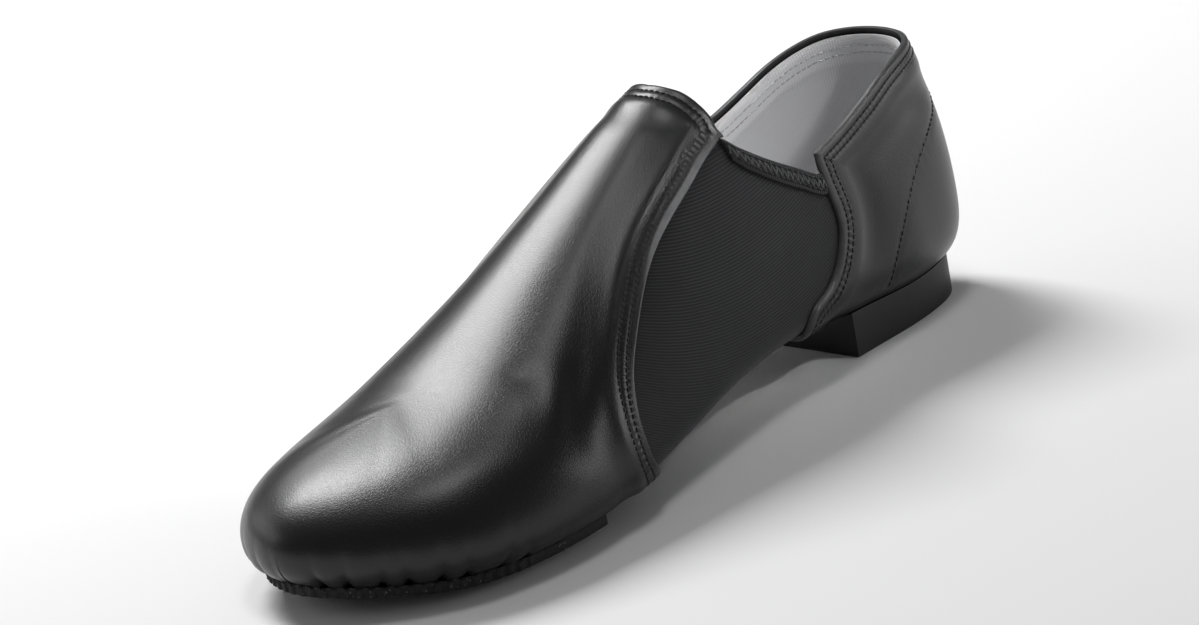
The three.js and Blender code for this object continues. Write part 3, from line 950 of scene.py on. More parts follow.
@dataclass(frozen=True)
class GoreTwill:
    """Black stretch fabric with fine diagonal ribs that fan out where the gore is stretched.

    A rib runs where the height plus slope times the distance along, fan times its square and
    twist times the product of the two stays the same, all from the gore's own place.
    """

    name: str = "gore_twill"
    colour: Colour = (0.007, 0.0072, 0.008)
    rib_colour: Colour = (0.034, 0.0345, 0.036)
    rib_pitch: float = 0.86 * MM
    rib_slope: float = -0.096
    rib_fan: float = -5.14
    rib_twist: float = 1.36
    rib_depth: float = 0.06 * MM
    yarn_depth: float = 0.05 * MM
    wobble: float = 0.25 * MM
    roughness: float = 0.82

    def dress(self) -> bpy.types.Material:
        """The material."""
        g = Graph(self.name)
        cloth = g.kept("cloth", True)
        along, height = g.axis(cloth, "X"), g.axis(cloth, "Y")
        across = height + along * (along * self.rib_fan + height * self.rib_twist + self.rib_slope)
        wobble = g.noise(260.0, 2.0) * self.wobble
        ribs = ((across + wobble) * (2 * math.pi / self.rib_pitch)).sine() * 0.5 + 0.5
        yarn = g.noise(3200.0, 2.0)
        patch = g.noise(60.0, 2.0)
        base = g.mix((ribs ** 1.6 * 0.8 + yarn * 0.2) * (0.5 + patch * 0.8), self.colour, self.rib_colour)
        normal = g.bump(yarn, self.yarn_depth, g.bump(ribs, self.rib_depth))
        g.set(Base_Color=base, Roughness=self.roughness + yarn * 0.1, Normal=normal)
        g.set(Sheen_Weight=0.12, Sheen_Roughness=0.5, Specular_IOR_Level=0.25)
        return g.material


@dataclass(frozen=True)
class Lining:
    """Pale grey knitted lining."""

    name: str = "lining"
    colour: Colour = (0.55, 0.55, 0.56)
    pale: Colour = (0.80, 0.80, 0.81)
    loop_pitch: float = 0.9 * MM
    loop_depth: float = 0.07 * MM
    roughness: float = 0.88

    def dress(self) -> bpy.types.Material:
        """The material."""
        g = Graph(self.name)
        cloth = g.kept("cloth", True)
        turn = 2 * math.pi / self.loop_pitch
        wales = (g.axis(cloth, "X") * turn).sine() * 0.5 + 0.5
        courses = (g.axis(cloth, "Y") * (turn * 1.3)).sine() * 0.5 + 0.5
        fuzz = g.noise(2600.0, 3.0)
        loops = wales * courses * 0.7 + fuzz * 0.3
        base = g.mix((0.25 + loops * 0.4 + g.kept("pale") * 0.5).clamped(), self.colour, self.pale)
        g.set(Base_Color=base, Roughness=self.roughness + fuzz * 0.08)
        g.set(Normal=g.bump(loops, self.loop_depth))
        g.set(Sheen_Weight=0.1, Specular_IOR_Level=0.2)
        return g.material


@dataclass(frozen=True)
class Elastic:
    """Black woven elastic with ribs across it."""

    name: str = "elastic"
    colour: Colour = (0.009, 0.009, 0.0095)
    rib_colour: Colour = (0.03, 0.03, 0.032)
    rib_pitch: float = 0.85 * MM
    rib_depth: float = 0.14 * MM
    roughness: float = 0.75

    def dress(self) -> bpy.types.Material:
        """The material."""
        g = Graph(self.name)
        cloth = g.kept("cloth", True)
        turn = 2 * math.pi / self.rib_pitch
        ribs = (g.axis(cloth, "X") * turn).sine() * 0.5 + 0.5
        courses = (g.axis(cloth, "Y") * (turn * 1.5)).sine() * 0.5 + 0.5
        fuzz = g.noise(2800.0, 3.0)
        weave = ribs * 0.6 + courses * 0.25 + fuzz * 0.15
        base = g.mix(weave, self.colour, self.rib_colour)
        g.set(Base_Color=base, Roughness=self.roughness + fuzz * 0.15)
        g.set(Normal=g.bump(weave, self.rib_depth))
        g.set(Sheen_Weight=0.1, Specular_IOR_Level=0.3)
        return g.material


@dataclass(frozen=True)
class Thread:
    """Sewing thread with a fine twist."""

    name: str
    colour: Colour
    roughness: float = 0.5
    twist_depth: float = 0.06 * MM

    def dress(self) -> bpy.types.Material:
        """The material."""
        g = Graph(self.name)
        twist = g.noise(5200.0, 1.0, g.stretched(g.position(), (1.0, 1.0, 2.2)))
        darker = tuple(channel * 0.6 for channel in self.colour)
        g.set(Base_Color=g.mix(twist, darker, self.colour), Roughness=self.roughness + twist * 0.15)
        g.set(Normal=g.bump(twist, self.twist_depth), Sheen_Weight=0.05)
        return g.material


@dataclass(frozen=True)
class Rubber:
    """Matt black rubber, with pale specks where an edge is cut."""

    name: str
    colour: Colour
    speck_colour: Colour = (0.22, 0.22, 0.21)
    roughness: float = 0.72
    tooth_depth: float = 0.06 * MM

    def dress(self) -> bpy.types.Material:
        """The material."""
        g = Graph(self.name)
        fine = g.noise(1900.0, 4.0, None, 0.65)
        broad = g.noise(90.0, 3.0)
        specks = g.noise(1300.0, 2.0).between(0.66, 0.74) * g.kept("cut")
        scuffs = g.kept("worn") * broad.between(0.35, 0.75) * 0.35
        base = g.mix((specks + scuffs).clamped(), self.colour, self.speck_colour)
        g.set(Base_Color=base, Roughness=self.roughness + (broad - 0.5) * 0.15)
        g.set(Normal=g.bump(fine, self.tooth_depth), Specular_IOR_Level=0.35)
        return g.material


@dataclass(frozen=True)
class InsoleCloth:
    """Brushed grey cloth."""

    name: str = "insole_cloth"
    colour: Colour = (0.24, 0.24, 0.25)
    pale: Colour = (0.38, 0.38, 0.39)
    nap_depth: float = 0.08 * MM
    roughness: float = 0.93

    def dress(self) -> bpy.types.Material:
        """The material."""
        g = Graph(self.name)
        nap = g.noise(2200.0, 4.0, g.stretched(g.position(), (0.35, 1.0, 1.0)), 0.65)
        broad = g.noise(45.0, 2.0)
        base = g.mix(nap * 0.6 + broad * 0.4, self.colour, self.pale)
        g.set(Base_Color=base, Roughness=self.roughness, Normal=g.bump(nap, self.nap_depth))
        g.set(Specular_IOR_Level=0.2, Sheen_Weight=0.1)
        return g.material


class Slot(Enum):
    """The record's material slots."""

    LEATHER = "leather"
    GORE = "gore_fabric"
    ELASTIC = "elastic"
    INSOLE = "insole"
    SOLE = "sole_rubber"
    HEEL = "heel_rubber"


def fit(
    piece: bpy.types.Object, finish: bpy.types.Material, slot: Slot | None, *nodes: str
) -> bpy.types.Object:
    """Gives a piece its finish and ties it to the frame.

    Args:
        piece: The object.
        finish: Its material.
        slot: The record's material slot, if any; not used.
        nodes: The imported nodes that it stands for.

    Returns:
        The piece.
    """
    piece.data.materials.clear()
    piece.data.materials.append(finish)
    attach(piece, BODY)
    if nodes:
        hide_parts(*nodes)
    log.info("%s: %d faces", piece.name, len(piece.data.polygons))
    return piece


@dataclass(frozen=True)
class Finishes:
    """Every finish of the shoe, made once."""

    leather: bpy.types.Material = field(default_factory=lambda: Leather().dress())
    gore: bpy.types.Material = field(default_factory=lambda: GoreTwill().dress())
    lining: bpy.types.Material = field(default_factory=lambda: Lining().dress())
    elastic: bpy.types.Material = field(default_factory=lambda: Elastic().dress())
    thread: bpy.types.Material = field(
        default_factory=lambda: Thread("black_thread", (0.007, 0.007, 0.0075)).dress()
    )
    cover_thread: bpy.types.Material = field(
        default_factory=lambda: Thread("cover_thread", (0.10, 0.10, 0.104)).dress()
    )
    pale_thread: bpy.types.Material = field(
        default_factory=lambda: Thread("pale_thread", (0.78, 0.78, 0.78)).dress()
    )
    sole: bpy.types.Material = field(
        default_factory=lambda: Rubber("sole_rubber", (0.016, 0.016, 0.016)).dress()
    )
    heel: bpy.types.Material = field(
        default_factory=lambda: Rubber("heel_rubber", (0.010, 0.010, 0.010), roughness=0.55).dress()
    )
    insole: bpy.types.Material = field(default_factory=lambda: InsoleCloth().dress())


@dataclass(frozen=True)
class Trough:
    """A soft hollow or swell in the leather, laid along a short line."""

    side: int
    x: float
    z: float
    lean: float
    half_length: float
    half_width: float
    depth: float

    def lift(self, points: np.ndarray) -> np.ndarray:
        """How far it moves each point outward.

        Args:
            points: Points of the form.

        Returns:
            A lift for each point, below 0 in a hollow.
        """
        place = LAST.locate(self.side, np.array([self.x]), np.array([self.z]))
        centre = LAST.points(place)[0]
        normal = LAST.normals(place)[0]
        lean = math.radians(self.lean)
        along = np.array([math.sin(lean), 0.0, math.cos(lean)])
        along = along - normal * along.dot(normal)
        along /= np.linalg.norm(along)
        across = np.cross(normal, along)
        offset = points - centre
        a = offset @ along / self.half_length
        b = offset @ across / self.half_width
        c = offset @ normal / (3 * self.half_width)
        return -self.depth * np.exp(-(a * a + b * b + c * c))


def swells(troughs: Sequence[Trough], grid: Grid, distance: np.ndarray, calm: float) -> np.ndarray:
    """Lift of every soft hollow and swell on one side, calm near the sewn edge.

    Args:
        troughs: The piece's hollows and swells.
        grid: Places on one side.
        distance: Their distances from the piece's edge.
        calm: Distance from the edge at which they are whole.

    Returns:
        A lift for each place.
    """
    lift = sum(trough.lift(grid.points) for trough in troughs if trough.side == grid.side)
    return lift * smooth_step(4 * MM, calm, distance)


@dataclass(frozen=True)
class Hem:
    """A folded edge: its lip, the step where the fold ends and the two stitch rows in it."""

    width: float = 8.0 * MM
    lift: float = 0.3 * MM
    step: tuple[float, float] = (-2.0 * MM, 1.4 * MM)
    lip: float = 0.7 * MM
    rows: tuple[float, float] = (2.5 * MM, 5.0 * MM)
    groove: float = 0.22 * MM
    groove_width: float = 0.6 * MM
    swell: float = 0.34 * MM
    swell_place: float = 3.2 * MM
    swell_width: float = 1.9 * MM
    hollow: float = 0.24 * MM
    hollow_place: float = 9.0 * MM
    hollow_width: float = 3.4 * MM
    pucker_edge: float = 1.0 * MM
    pitch: float = 1.7 * MM

    def relief(self, distance: np.ndarray) -> np.ndarray:
        """Lift of the surface at a distance from the edge.

        Args:
            distance: Distance from the edge.

        Returns:
            A lift for each point.
        """
        start, end = (self.width + shift for shift in self.step)
        rise = self.lift * (1 - smooth_step(start, end, distance))
        rest = np.clip(self.lip - distance, 0.0, self.lip)
        round_off = -(self.lip - np.sqrt(np.maximum(self.lip**2 - rest**2, 0.0)))
        grooves = np.zeros_like(distance)
        for row in self.rows:
            grooves -= self.groove * np.exp(-(((distance - row) / self.groove_width) ** 2))
        beyond = distance - self.rows[-1]
        swell = self.swell * np.exp(-(((beyond - self.swell_place) / self.swell_width) ** 2))
        hollow = self.hollow * np.exp(-(((beyond - self.hollow_place) / self.hollow_width) ** 2))
        return rise + round_off + grooves + swell - hollow

    def sewn(self, distance: np.ndarray, along: np.ndarray) -> np.ndarray:
        """Share of the puckers between the stitch rows and the distance along the edge."""
        first, last = self.rows
        share = smooth_step(first - self.pucker_edge, first, distance)
        share = share * (1 - smooth_step(last, last + self.pucker_edge, distance))
        return np.stack([share, along, np.zeros_like(along)], axis=-1)


# Points on a line and the outward directions there
Run = tuple[np.ndarray, np.ndarray]


@dataclass(frozen=True)
class Stitching:
    """A row of separate stitches of round thread."""

    pitch: float = 1.9 * MM
    share: float = 0.76
    radius: float = 0.23 * MM
    proud: float = 0.16 * MM
    sunk: float = 0.3 * MM
    rings: int = 7
    sides: int = 6

    def meshes(self, runs: Sequence[Run]) -> tuple[np.ndarray, list[list[int]]]:
        """Vertices and faces of the stitches along runs of points.

        Args:
            runs: Pairs of points and outward directions on the surface that is sewn.

        Returns:
            All the vertices and all the faces.
        """
        vertices, faces = [], []
        for points, normals in runs:
            along = run_along(points)
            count = max(int(round(along[-1] / self.pitch)), 1)
            pitch = along[-1] / count
            t = np.linspace(0.0, 1.0, self.rings)
            for index in range(count):
                wanted = (index + (1 - self.share) / 2 + t * self.share) * pitch
                centre = read_line(wanted, along, points)
                outward = unit(read_line(wanted, along, normals))
                arch = np.sqrt(np.clip(1 - (2 * t - 1) ** 4, 0.0, 1.0))
                centre = centre + outward * (arch * (self.proud + self.sunk) - self.sunk)[:, None]
                vertices.append(self._tube(centre, outward))
                faces += self._faces((len(vertices) - 1) * self.rings * self.sides)
        return np.concatenate(vertices), faces

    def _tube(self, centre: np.ndarray, outward: np.ndarray) -> np.ndarray:
        """Rings of vertices round a centre line."""
        tangent = unit(np.gradient(centre, axis=0))
        across = unit(np.cross(outward, tangent))
        above = np.cross(tangent, across)
        angles = (np.arange(self.sides) * 2 * np.pi / self.sides)[None, :, None]
        ring = np.cos(angles) * across[:, None] + np.sin(angles) * above[:, None]
        return (centre[:, None] + ring * self.radius).reshape(-1, 3)

    def _faces(self, offset: int) -> list[list[int]]:
        """Faces of one stitch whose first vertex has the number offset."""
        faces = []
        for ring in range(self.rings - 1):
            for side in range(self.sides):
                a = offset + ring * self.sides + side
                b = offset + ring * self.sides + (side + 1) % self.sides
                faces.append([a, b, b + self.sides, a + self.sides])
        last = offset + (self.rings - 1) * self.sides
        faces.append([offset + side for side in reversed(range(self.sides))])
        faces.append([last + side for side in range(self.sides)])
        return faces


def sew(name: str, stitching: Stitching, runs: Sequence[Run], finish: bpy.types.Material) -> None:
    """Makes rows of stitches as one piece."""
    vertices, faces = stitching.meshes(runs)
    fit(object_from(name, vertices, faces), finish, None)


@dataclass
class Vamp:
    """Leather forepart: folded throat, creases above the ball and pleats round the toe."""

    wall: float = 1.2 * MM
    hem: Hem = field(default_factory=Hem)
    side_rows: int = 74
    top_rows: int = 34
    columns: int = 190
    hem_columns: int = 26
    hem_share: float = 0.07
    calm: float = 14 * MM
    # Heights between which the painted highlight on the fold's rounded edge widens, comes into sight and
    # ends, and between which the puckers end
    pale_reach: float = 2.3 * MM
    pale_edge: float = 0.5 * MM
    pale_foot: float = 6 * MM
    pale_widens: tuple[float, float] = (50 * MM, 64 * MM)
    pale_shows: tuple[float, float] = (47 * MM, 62 * MM)
    pale_ends: tuple[float, float] = (68 * MM, 77 * MM)
    puckers_end: tuple[float, float] = (74 * MM, 84 * MM)
    # The pleats are laid along the sole's edge, from the toe's tip, gap after gap in mm
    pleat_level: float = -0.45
    pleat_reach: float = 15.0 * MM
    pleat_fade: float = 0.55
    pleat_depth: float = 1.9 * MM
    pleat_spread: float = 0.10
    pleat_swell: float = 0.32
    pleat_swell_width: float = 3.1 * MM
    pleated_run: tuple[float, float] = (76 * MM, 92 * MM)
    strong_pleats: int = 7
    tip_pleat: float = 0.3
    inner_shift: float = 0.4 * MM
    first_pleat: float = 2.0 * MM
    pleat_gaps: tuple[float, ...] = (7.2, 6.0, 8.2, 6.6, 7.6, 6.2, 8.6, 7.4, 8.8, 9.6)
    troughs: tuple[Trough, ...] = (
        Trough(OUTER_SIDE, 175 * MM, 38.5 * MM, -32, 9 * MM, 3.2 * MM, 0.55 * MM),
        Trough(OUTER_SIDE, 181 * MM, 37 * MM, -28, 10 * MM, 4.0 * MM, -0.5 * MM),
        Trough(OUTER_SIDE, 169.5 * MM, 36 * MM, -36, 12 * MM, 4.2 * MM, -0.5 * MM),
        Trough(OUTER_SIDE, 161 * MM, 39 * MM, -37, 12 * MM, 3.6 * MM, 0.5 * MM),
        Trough(OUTER_SIDE, 182 * MM, 43 * MM, 30, 4.5 * MM, 3.5 * MM, 0.3 * MM),
        Trough(OUTER_SIDE, 198 * MM, 28 * MM, 60, 13 * MM, 7.0 * MM, -0.4 * MM),
        Trough(OUTER_SIDE, 180 * MM, 24 * MM, 40, 15 * MM, 6.0 * MM, 0.4 * MM),
        Trough(INNER_SIDE, 165 * MM, 30 * MM, -14, 15 * MM, 4.5 * MM, 0.8 * MM),
        Trough(INNER_SIDE, 173 * MM, 30 * MM, -12, 14 * MM, 4.0 * MM, -0.45 * MM),
        Trough(INNER_SIDE, 182 * MM, 22 * MM, 26, 16 * MM, 6.0 * MM, 0.5 * MM),
    )

    def grids(self) -> list[Grid]:
        """The vamp's two sides, with columns crowded near the folded edge."""
        rows = np.concatenate([
            np.linspace(0.0, 1.0, self.side_rows + 1),
            np.linspace(1.0, 2.0, self.top_rows + 1)[1:],
        ])
        shares = packed_shares(self.columns, self.hem_columns, self.hem_share)
        made = []
        for side in SIDES:
            start = LAST.vamp_rear(side, rows)
            made.append(zone(
                side, start, np.ones_like(start), rows, shares,
                lambda u, row, side=side: LAST.vamp_levels(side, u, row),
            ))
        return made

    def edge(self, grids: Sequence[Grid]) -> Border:
        """The folded edge, from the outer side's underside over the instep to the inner side's."""
        outer, inner = (grid.points[:, 0] for grid in grids)
        return Border(dense_line(np.concatenate([outer, inner[::-1]])))

    def toe_line(self) -> dict[int, tuple[np.ndarray, np.ndarray]]:
        """Places u, and distances from the toe's tip along the sole's edge, on each side."""
        u = np.linspace(1.0, 0.5, 500)
        lines = {}
        for side in SIDES:
            points = LAST.raw_points(side, u, np.full_like(u, self.pleat_level))
            lines[side] = (u, run_along(points))
        return lines

    def pleats(self, grid: Grid, toe_line: dict[int, tuple[np.ndarray, np.ndarray]]) -> np.ndarray:
        """Lift of the leather where it is gathered round the toe.

        Args:
            grid: One side of the vamp.
            toe_line: What toe_line() gives.

        Returns:
            A lift for each point of the grid.
        """
        u, run = toe_line[grid.side]
        along = np.interp(-grid.places.u, -u, run)
        stations = self.first_pleat + np.cumsum(np.array(self.pleat_gaps) * MM)
        tip = 0.0 if grid.side == OUTER_SIDE else self.inner_shift
        level_points = LAST.raw_points(
            grid.side, grid.places.u, np.full_like(grid.places.u, self.pleat_level)
        )
        height = np.linalg.norm(grid.points - level_points, axis=-1)
        height = np.where(grid.places.v < self.pleat_level, 0.0, height)
        lift = np.zeros_like(along)
        rng = np.random.default_rng(11 + grid.side)
        for index, station in enumerate([tip, *stations]):
            lean = rng.uniform(-0.12, 0.2)
            weaker = 0.25 * max(index + 1 - self.strong_pleats, 0)
            strength = rng.uniform(0.75, 1.15) * (1.0 - weaker)
            strength *= self.tip_pleat if index == 0 else 1.0
            reach = self.pleat_reach * rng.uniform(0.75, 1.15)
            offset = along - station - lean * height
            width = (1.0 + self.pleat_spread * height / MM) * MM
            fade = np.exp(-((height / (self.pleat_fade * reach)) ** 2))
            valley = np.exp(-np.abs(offset / width) ** 1.4)
            swell = np.exp(-((offset / self.pleat_swell_width) ** 2))
            lift += fade * strength * self.pleat_depth * (self.pleat_swell * swell - valley)
        under = smooth_step(self.pleat_level - 0.06, self.pleat_level + 0.02, grid.places.v)
        tucked = np.minimum(lift, 0.0) + np.maximum(lift, 0.0) * under
        return tucked * (1 - smooth_step(*self.pleated_run, along))

    def relief(self, grid: Grid, edge: Border) -> tuple[np.ndarray, np.ndarray, np.ndarray]:
        """Lift of the whole surface, and each point's distance from the edge and along it."""
        distance, along = edge.measure(grid.points)
        lift = self.hem.relief(distance) + self.pleats(grid, self.toe_line())
        return lift + swells(self.troughs, grid, distance, self.calm), distance, along

    def pale(self, grid: Grid, distance: np.ndarray) -> np.ndarray:
        """How much painted highlight of the fold's rounded edge each place beside the gore shows, 0 to 1."""
        height = grid.points[..., 2]
        beside_gore = (grid.places.v < 0.99) & (height > self.pale_foot)
        reach = self.pale_reach * (0.35 + 0.65 * smooth_step(*self.pale_widens, height))
        shown = 0.10 + 0.90 * smooth_step(*self.pale_shows, height)
        shown *= 1 - smooth_step(*self.pale_ends, height)
        return (1 - smooth_step(reach - self.pale_edge, reach, distance)) * beside_gore * shown

    def build(self, finishes: Finishes) -> None:
        """Makes the vamp and its stitches."""
        grids = self.grids()
        edge = self.edge(grids)
        shell = Shell("vamp_leather")
        runs: list[Run] = []
        for grid in grids:
            lift, distance, along = self.relief(grid, edge)
            # pale carries the painted highlight beside the gore into the leather's base colour
            pale = self.pale(grid, distance)
            sewn = self.hem.sewn(distance, along)
            sewn[..., 0] *= 1 - 0.8 * smooth_step(*self.puckers_end, grid.points[..., 2])
            shell.add(grid, grid.lifted(lift), grid.lifted(-self.wall), pale=pale, sewn=sewn)
            for row in self.hem.rows:
                at = Grid(contour(grid, distance, row, True))
                runs.append((at.lifted(self.hem.lift - self.hem.groove), at.normals))
        fit(shell.build(), finishes.leather, Slot.LEATHER, "vamp")
        sew("vamp_stitches", Stitching(pitch=self.hem.pitch), runs, finishes.thread)


@dataclass
class Quarter:
    """Leather heel part with a folded rim and front edges, and the heel counter's seam."""

    wall: float = 1.2 * MM
    hem: Hem = field(default_factory=lambda: Hem(width=6.5 * MM, rows=(2.5 * MM, 4.5 * MM)))
    side_rows: int = 56
    top_rows: int = 30
    columns: int = 96
    packed: int = 24
    calm: float = 12 * MM
    pale_reach: tuple[float, float] = (0.4 * MM, 2.0 * MM)
    puckers_end: tuple[float, float] = (50 * MM, 60 * MM)
    counter_groove: float = 0.28 * MM
    groove_width: float = 0.8 * MM
    counter_line: tuple[tuple[float, float], ...] = (
        (4.5, 58), (11, 53), (19, 48.5), (27, 43), (34, 36), (39, 29), (43, 22), (46, 15.5),
    )
    troughs: tuple[Trough, ...] = (
        Trough(OUTER_SIDE, 52 * MM, 40 * MM, 8, 16 * MM, 6.0 * MM, 0.55 * MM),
        Trough(OUTER_SIDE, 36 * MM, 30 * MM, 20, 14 * MM, 8.0 * MM, -0.5 * MM),
        Trough(OUTER_SIDE, 22 * MM, 60 * MM, 70, 16 * MM, 5.0 * MM, 0.3 * MM),
        Trough(INNER_SIDE, 50 * MM, 38 * MM, 5, 16 * MM, 6.0 * MM, 0.5 * MM),
        Trough(INNER_SIDE, 30 * MM, 32 * MM, 15, 14 * MM, 8.0 * MM, -0.4 * MM),
    )

    def grids(self) -> list[Grid]:
        """The quarter's two sides, crowded near the rim and the front edge."""
        top = 1 + packed_shares(self.top_rows, self.top_rows // 2, 0.0, 0.4)
        rows = np.concatenate([np.linspace(0.0, 1.0, self.side_rows + 1), top[1:]])
        shares = packed_shares(self.columns, self.packed, 0.0, 0.13)
        made = []
        for side in SIDES:
            end = LAST.quarter_front(side, rows)
            made.append(zone(
                side, np.zeros_like(end), end, rows, shares,
                lambda u, row, side=side: LAST.quarter_levels(side, u, row),
            ))
        return made

    @staticmethod
    def edge(grids: Sequence[Grid]) -> Border:
        """Front edge, rim and front edge again, from one side to the other."""
        outer, inner = grids
        line = np.concatenate([
            outer.points[:, -1], outer.points[-1, ::-1], inner.points[-1], inner.points[::-1, -1],
        ])
        return Border(dense_line(line))

    def counter(self, side: int) -> Places:
        """The counter's seam on one side."""
        line = np.array(self.counter_line) * MM
        z = np.linspace(line[0, 1], line[-1, 1], 60)
        x = smooth_value([(-row[1], row[0]) for row in line], -z)
        return LAST.locate(side, x, z)

    def build(self, finishes: Finishes) -> None:
        """Makes the quarter and its stitches."""
        grids = self.grids()
        edge = self.edge(grids)
        seams = {grid.side: Grid(self.counter(grid.side)) for grid in grids}
        shell = Shell("quarter_leather")
        runs: list[Run] = []
        for grid in grids:
            distance, along = edge.measure(grid.points)
            lift = self.hem.relief(distance) + swells(self.troughs, grid, distance, self.calm)
            seam = Border(dense_line(seams[grid.side].points))
            off, _ = seam.measure(grid.points)
            lift -= self.counter_groove * np.exp(-((off / self.groove_width) ** 2))
            # Painted highlight: a faint pale strip along the folded rim and front edges
            pale = (1 - smooth_step(*self.pale_reach, distance)) * 0.3
            sewn = self.hem.sewn(distance, along)
            sewn[..., 0] *= 1 - 0.6 * smooth_step(*self.puckers_end, grid.points[..., 2])
            shell.add(grid, grid.lifted(lift), grid.lifted(-self.wall), pale=pale, sewn=sewn)
            for row in self.hem.rows:
                at = Grid(self.corner_trail(grid, distance, row))
                runs.append((at.lifted(self.hem.lift - self.hem.groove), at.normals))
            at = seams[grid.side]
            off, _ = edge.measure(at.points)
            lift = swells(self.troughs, at, off, self.calm)
            runs.append((at.lifted(lift - self.counter_groove), at.normals))
        fit(shell.build(), finishes.leather, Slot.LEATHER, "quarter")
        sew("quarter_stitches", Stitching(pitch=self.hem.pitch), runs, finishes.thread)

    @staticmethod
    def corner_trail(grid: Grid, distance: np.ndarray, inset: float) -> Places:
        """A line at one distance inside the rim and then the front edge."""
        along_rim = contour(grid, distance, inset, False)
        down_front = contour(grid, distance, inset, True)
        rim_part = LAST.points(along_rim)
        front_part = LAST.points(down_front)
        corner = grid.points[-1, -1]
        near = np.linalg.norm(rim_part - corner, axis=1)
        keep_rim = np.arange(len(near)) < max(int(np.argmin(near)), 1)
        keep_front = front_part[:, 2] < rim_part[keep_rim][-1, 2] - 0.5 * MM
        rim = Places(grid.side, along_rim.u[keep_rim], along_rim.v[keep_rim])
        front = Places(grid.side, down_front.u[keep_front][::-1], down_front.v[keep_front][::-1])
        return joined(rim, front)


@dataclass
class Sock:
    """Stretch gores and the lining that carries them, sewn inside the leather."""

    gore_depth: float = 1.45 * MM
    gore_wall: float = 0.6 * MM
    lining_depth: float = 2.1 * MM
    lining_wall: float = 0.6 * MM
    overlap: float = 7.0 * MM
    sag: float = 0.35 * MM
    set_back: float = 1.3 * MM
    fold_width: float = 9.0 * MM
    fold_slope: float = 1.5 * MM
    fold_lift: float = 0.45 * MM
    rim_round: float = 1.6 * MM
    dent: float = 0.15 * MM
    dent_width: float = 0.8 * MM
    thread_radius: float = 0.24 * MM
    stitch_rows: tuple[float, float] = (3.0 * MM, 5.4 * MM)
    twill_place: tuple[float, float] = (110 * MM, 50 * MM)
    rows: int = 60
    columns: int = 44
    lining_rows: tuple[int, int] = (44, 20)
    lining_columns: tuple[int, int, int] = (56, 24, 80)

    @staticmethod
    def cloth(grid: Grid) -> np.ndarray:
        """Distances along and up the cloth at each point of a grid."""
        along = np.linalg.norm(np.diff(grid.points, axis=1), axis=-1)
        up = np.linalg.norm(np.diff(grid.points, axis=0), axis=-1)
        x = np.pad(np.cumsum(along, axis=1), ((0, 0), (1, 0)))
        x = x - x[:, x.shape[1] // 2 : x.shape[1] // 2 + 1]
        y = np.pad(np.cumsum(up, axis=0), ((1, 0), (0, 0)))
        return np.stack([x, y, np.zeros_like(x)], axis=-1)

    def drape(self, grid: Grid) -> np.ndarray:
        """Distances along and above the place that the gore's twill lines are laid from."""
        x = grid.points[..., 0] - self.twill_place[0]
        return np.stack([x, grid.points[..., 2] - self.twill_place[1], np.zeros_like(x)], axis=-1)

    def gore(self, side: int) -> Grid:
        """One side of the gore, with its hidden laps under the leather."""
        rows = np.linspace(0.0, 1.0, self.rows + 1)
        start = LAST.quarter_front(side, rows, -self.overlap)
        end = LAST.vamp_rear(side, rows, self.overlap)
        shares = np.linspace(0.0, 1.0, self.columns + 1)
        return zone(side, start, end, rows, shares, lambda u, row: LAST.vamp_levels(side, u, row))

    def lining(self, side: int) -> list[Grid]:
        """The lining's three parts on one side: heel, gore and forepart."""
        back = self.set_back
        low_rows, high_rows = (np.linspace(0.0, 1.0, rows + 1) for rows in self.lining_rows)
        all_rows = np.concatenate([low_rows, 1.0 + high_rows[1:]])
        shares = [np.linspace(0, 1, columns + 1) for columns in self.lining_columns]
        front = LAST.quarter_front(side, all_rows, -back, back)
        rear = LAST.vamp_rear(side, all_rows, back, back)

        def heel_levels(u: np.ndarray, row: np.ndarray) -> np.ndarray:
            return LAST.quarter_levels(side, u, row, back)

        def fore_levels(u: np.ndarray, row: np.ndarray) -> np.ndarray:
            return LAST.vamp_levels(side, u, row, back)

        count = len(low_rows)
        return [
            zone(side, np.zeros_like(front), front, all_rows, shares[0], heel_levels),
            zone(side, front[:count], rear[:count], low_rows, shares[1], fore_levels),
            zone(side, rear, np.ones_like(rear), all_rows, shares[2], fore_levels),
        ]

    def build(self, finishes: Finishes) -> None:
        """Makes the gores, the lining and the lining's stitches."""
        gores = Shell("gore_cloth")
        for side in SIDES:
            grid = self.gore(side)
            sag = self.sag * np.sin(np.pi * np.linspace(0, 1, grid.places.u.shape[1]))[None, :]
            depth = self.gore_depth + np.broadcast_to(sag, grid.places.u.shape)
            inner = grid.lifted(-depth - self.gore_wall)
            gores.add(grid, grid.lifted(-depth), inner, cloth=self.drape(grid))
        fit(gores.build(), finishes.gore, Slot.GORE, "upper")
        self.build_lining(finishes)

    def build_lining(self, finishes: Finishes) -> None:
        """Makes the lining with its folded band and two stitch rows along the rim."""
        shell = Shell("lining_cloth")
        sides = {side: self.lining(side) for side in SIDES}
        rim = [sides[OUTER_SIDE][0].points[-1, ::-1], sides[INNER_SIDE][0].points[-1]]
        border = Border(dense_line(np.concatenate(rim)))
        runs: list[Run] = []
        for grids in sides.values():
            for index, grid in enumerate(grids):
                distance, _ = border.measure(grid.points)
                fold = 1 - smooth_step(self.fold_width - self.fold_slope, self.fold_width, distance)
                sewn = sum(
                    np.exp(-(((distance - row) / self.dent_width) ** 2)) for row in self.stitch_rows
                )
                round_off = 0.15 + 0.85 * smooth_step(0.0, self.rim_round, distance)
                cloth_wall = self.lining_wall + fold * self.fold_lift - sewn * self.dent
                outer = grid.lifted(-self.lining_depth)
                inner = grid.lifted(-self.lining_depth - cloth_wall * round_off)
                shell.add(grid, outer, inner, cloth=self.cloth(grid), pale=fold)
                if index == 0:
                    runs += self.rim_runs(grid, distance)
        fit(shell.build(), finishes.lining, Slot.GORE, "upper")
        stitching = Stitching(radius=self.thread_radius)
        sew("lining_stitches", stitching, runs, finishes.pale_thread)

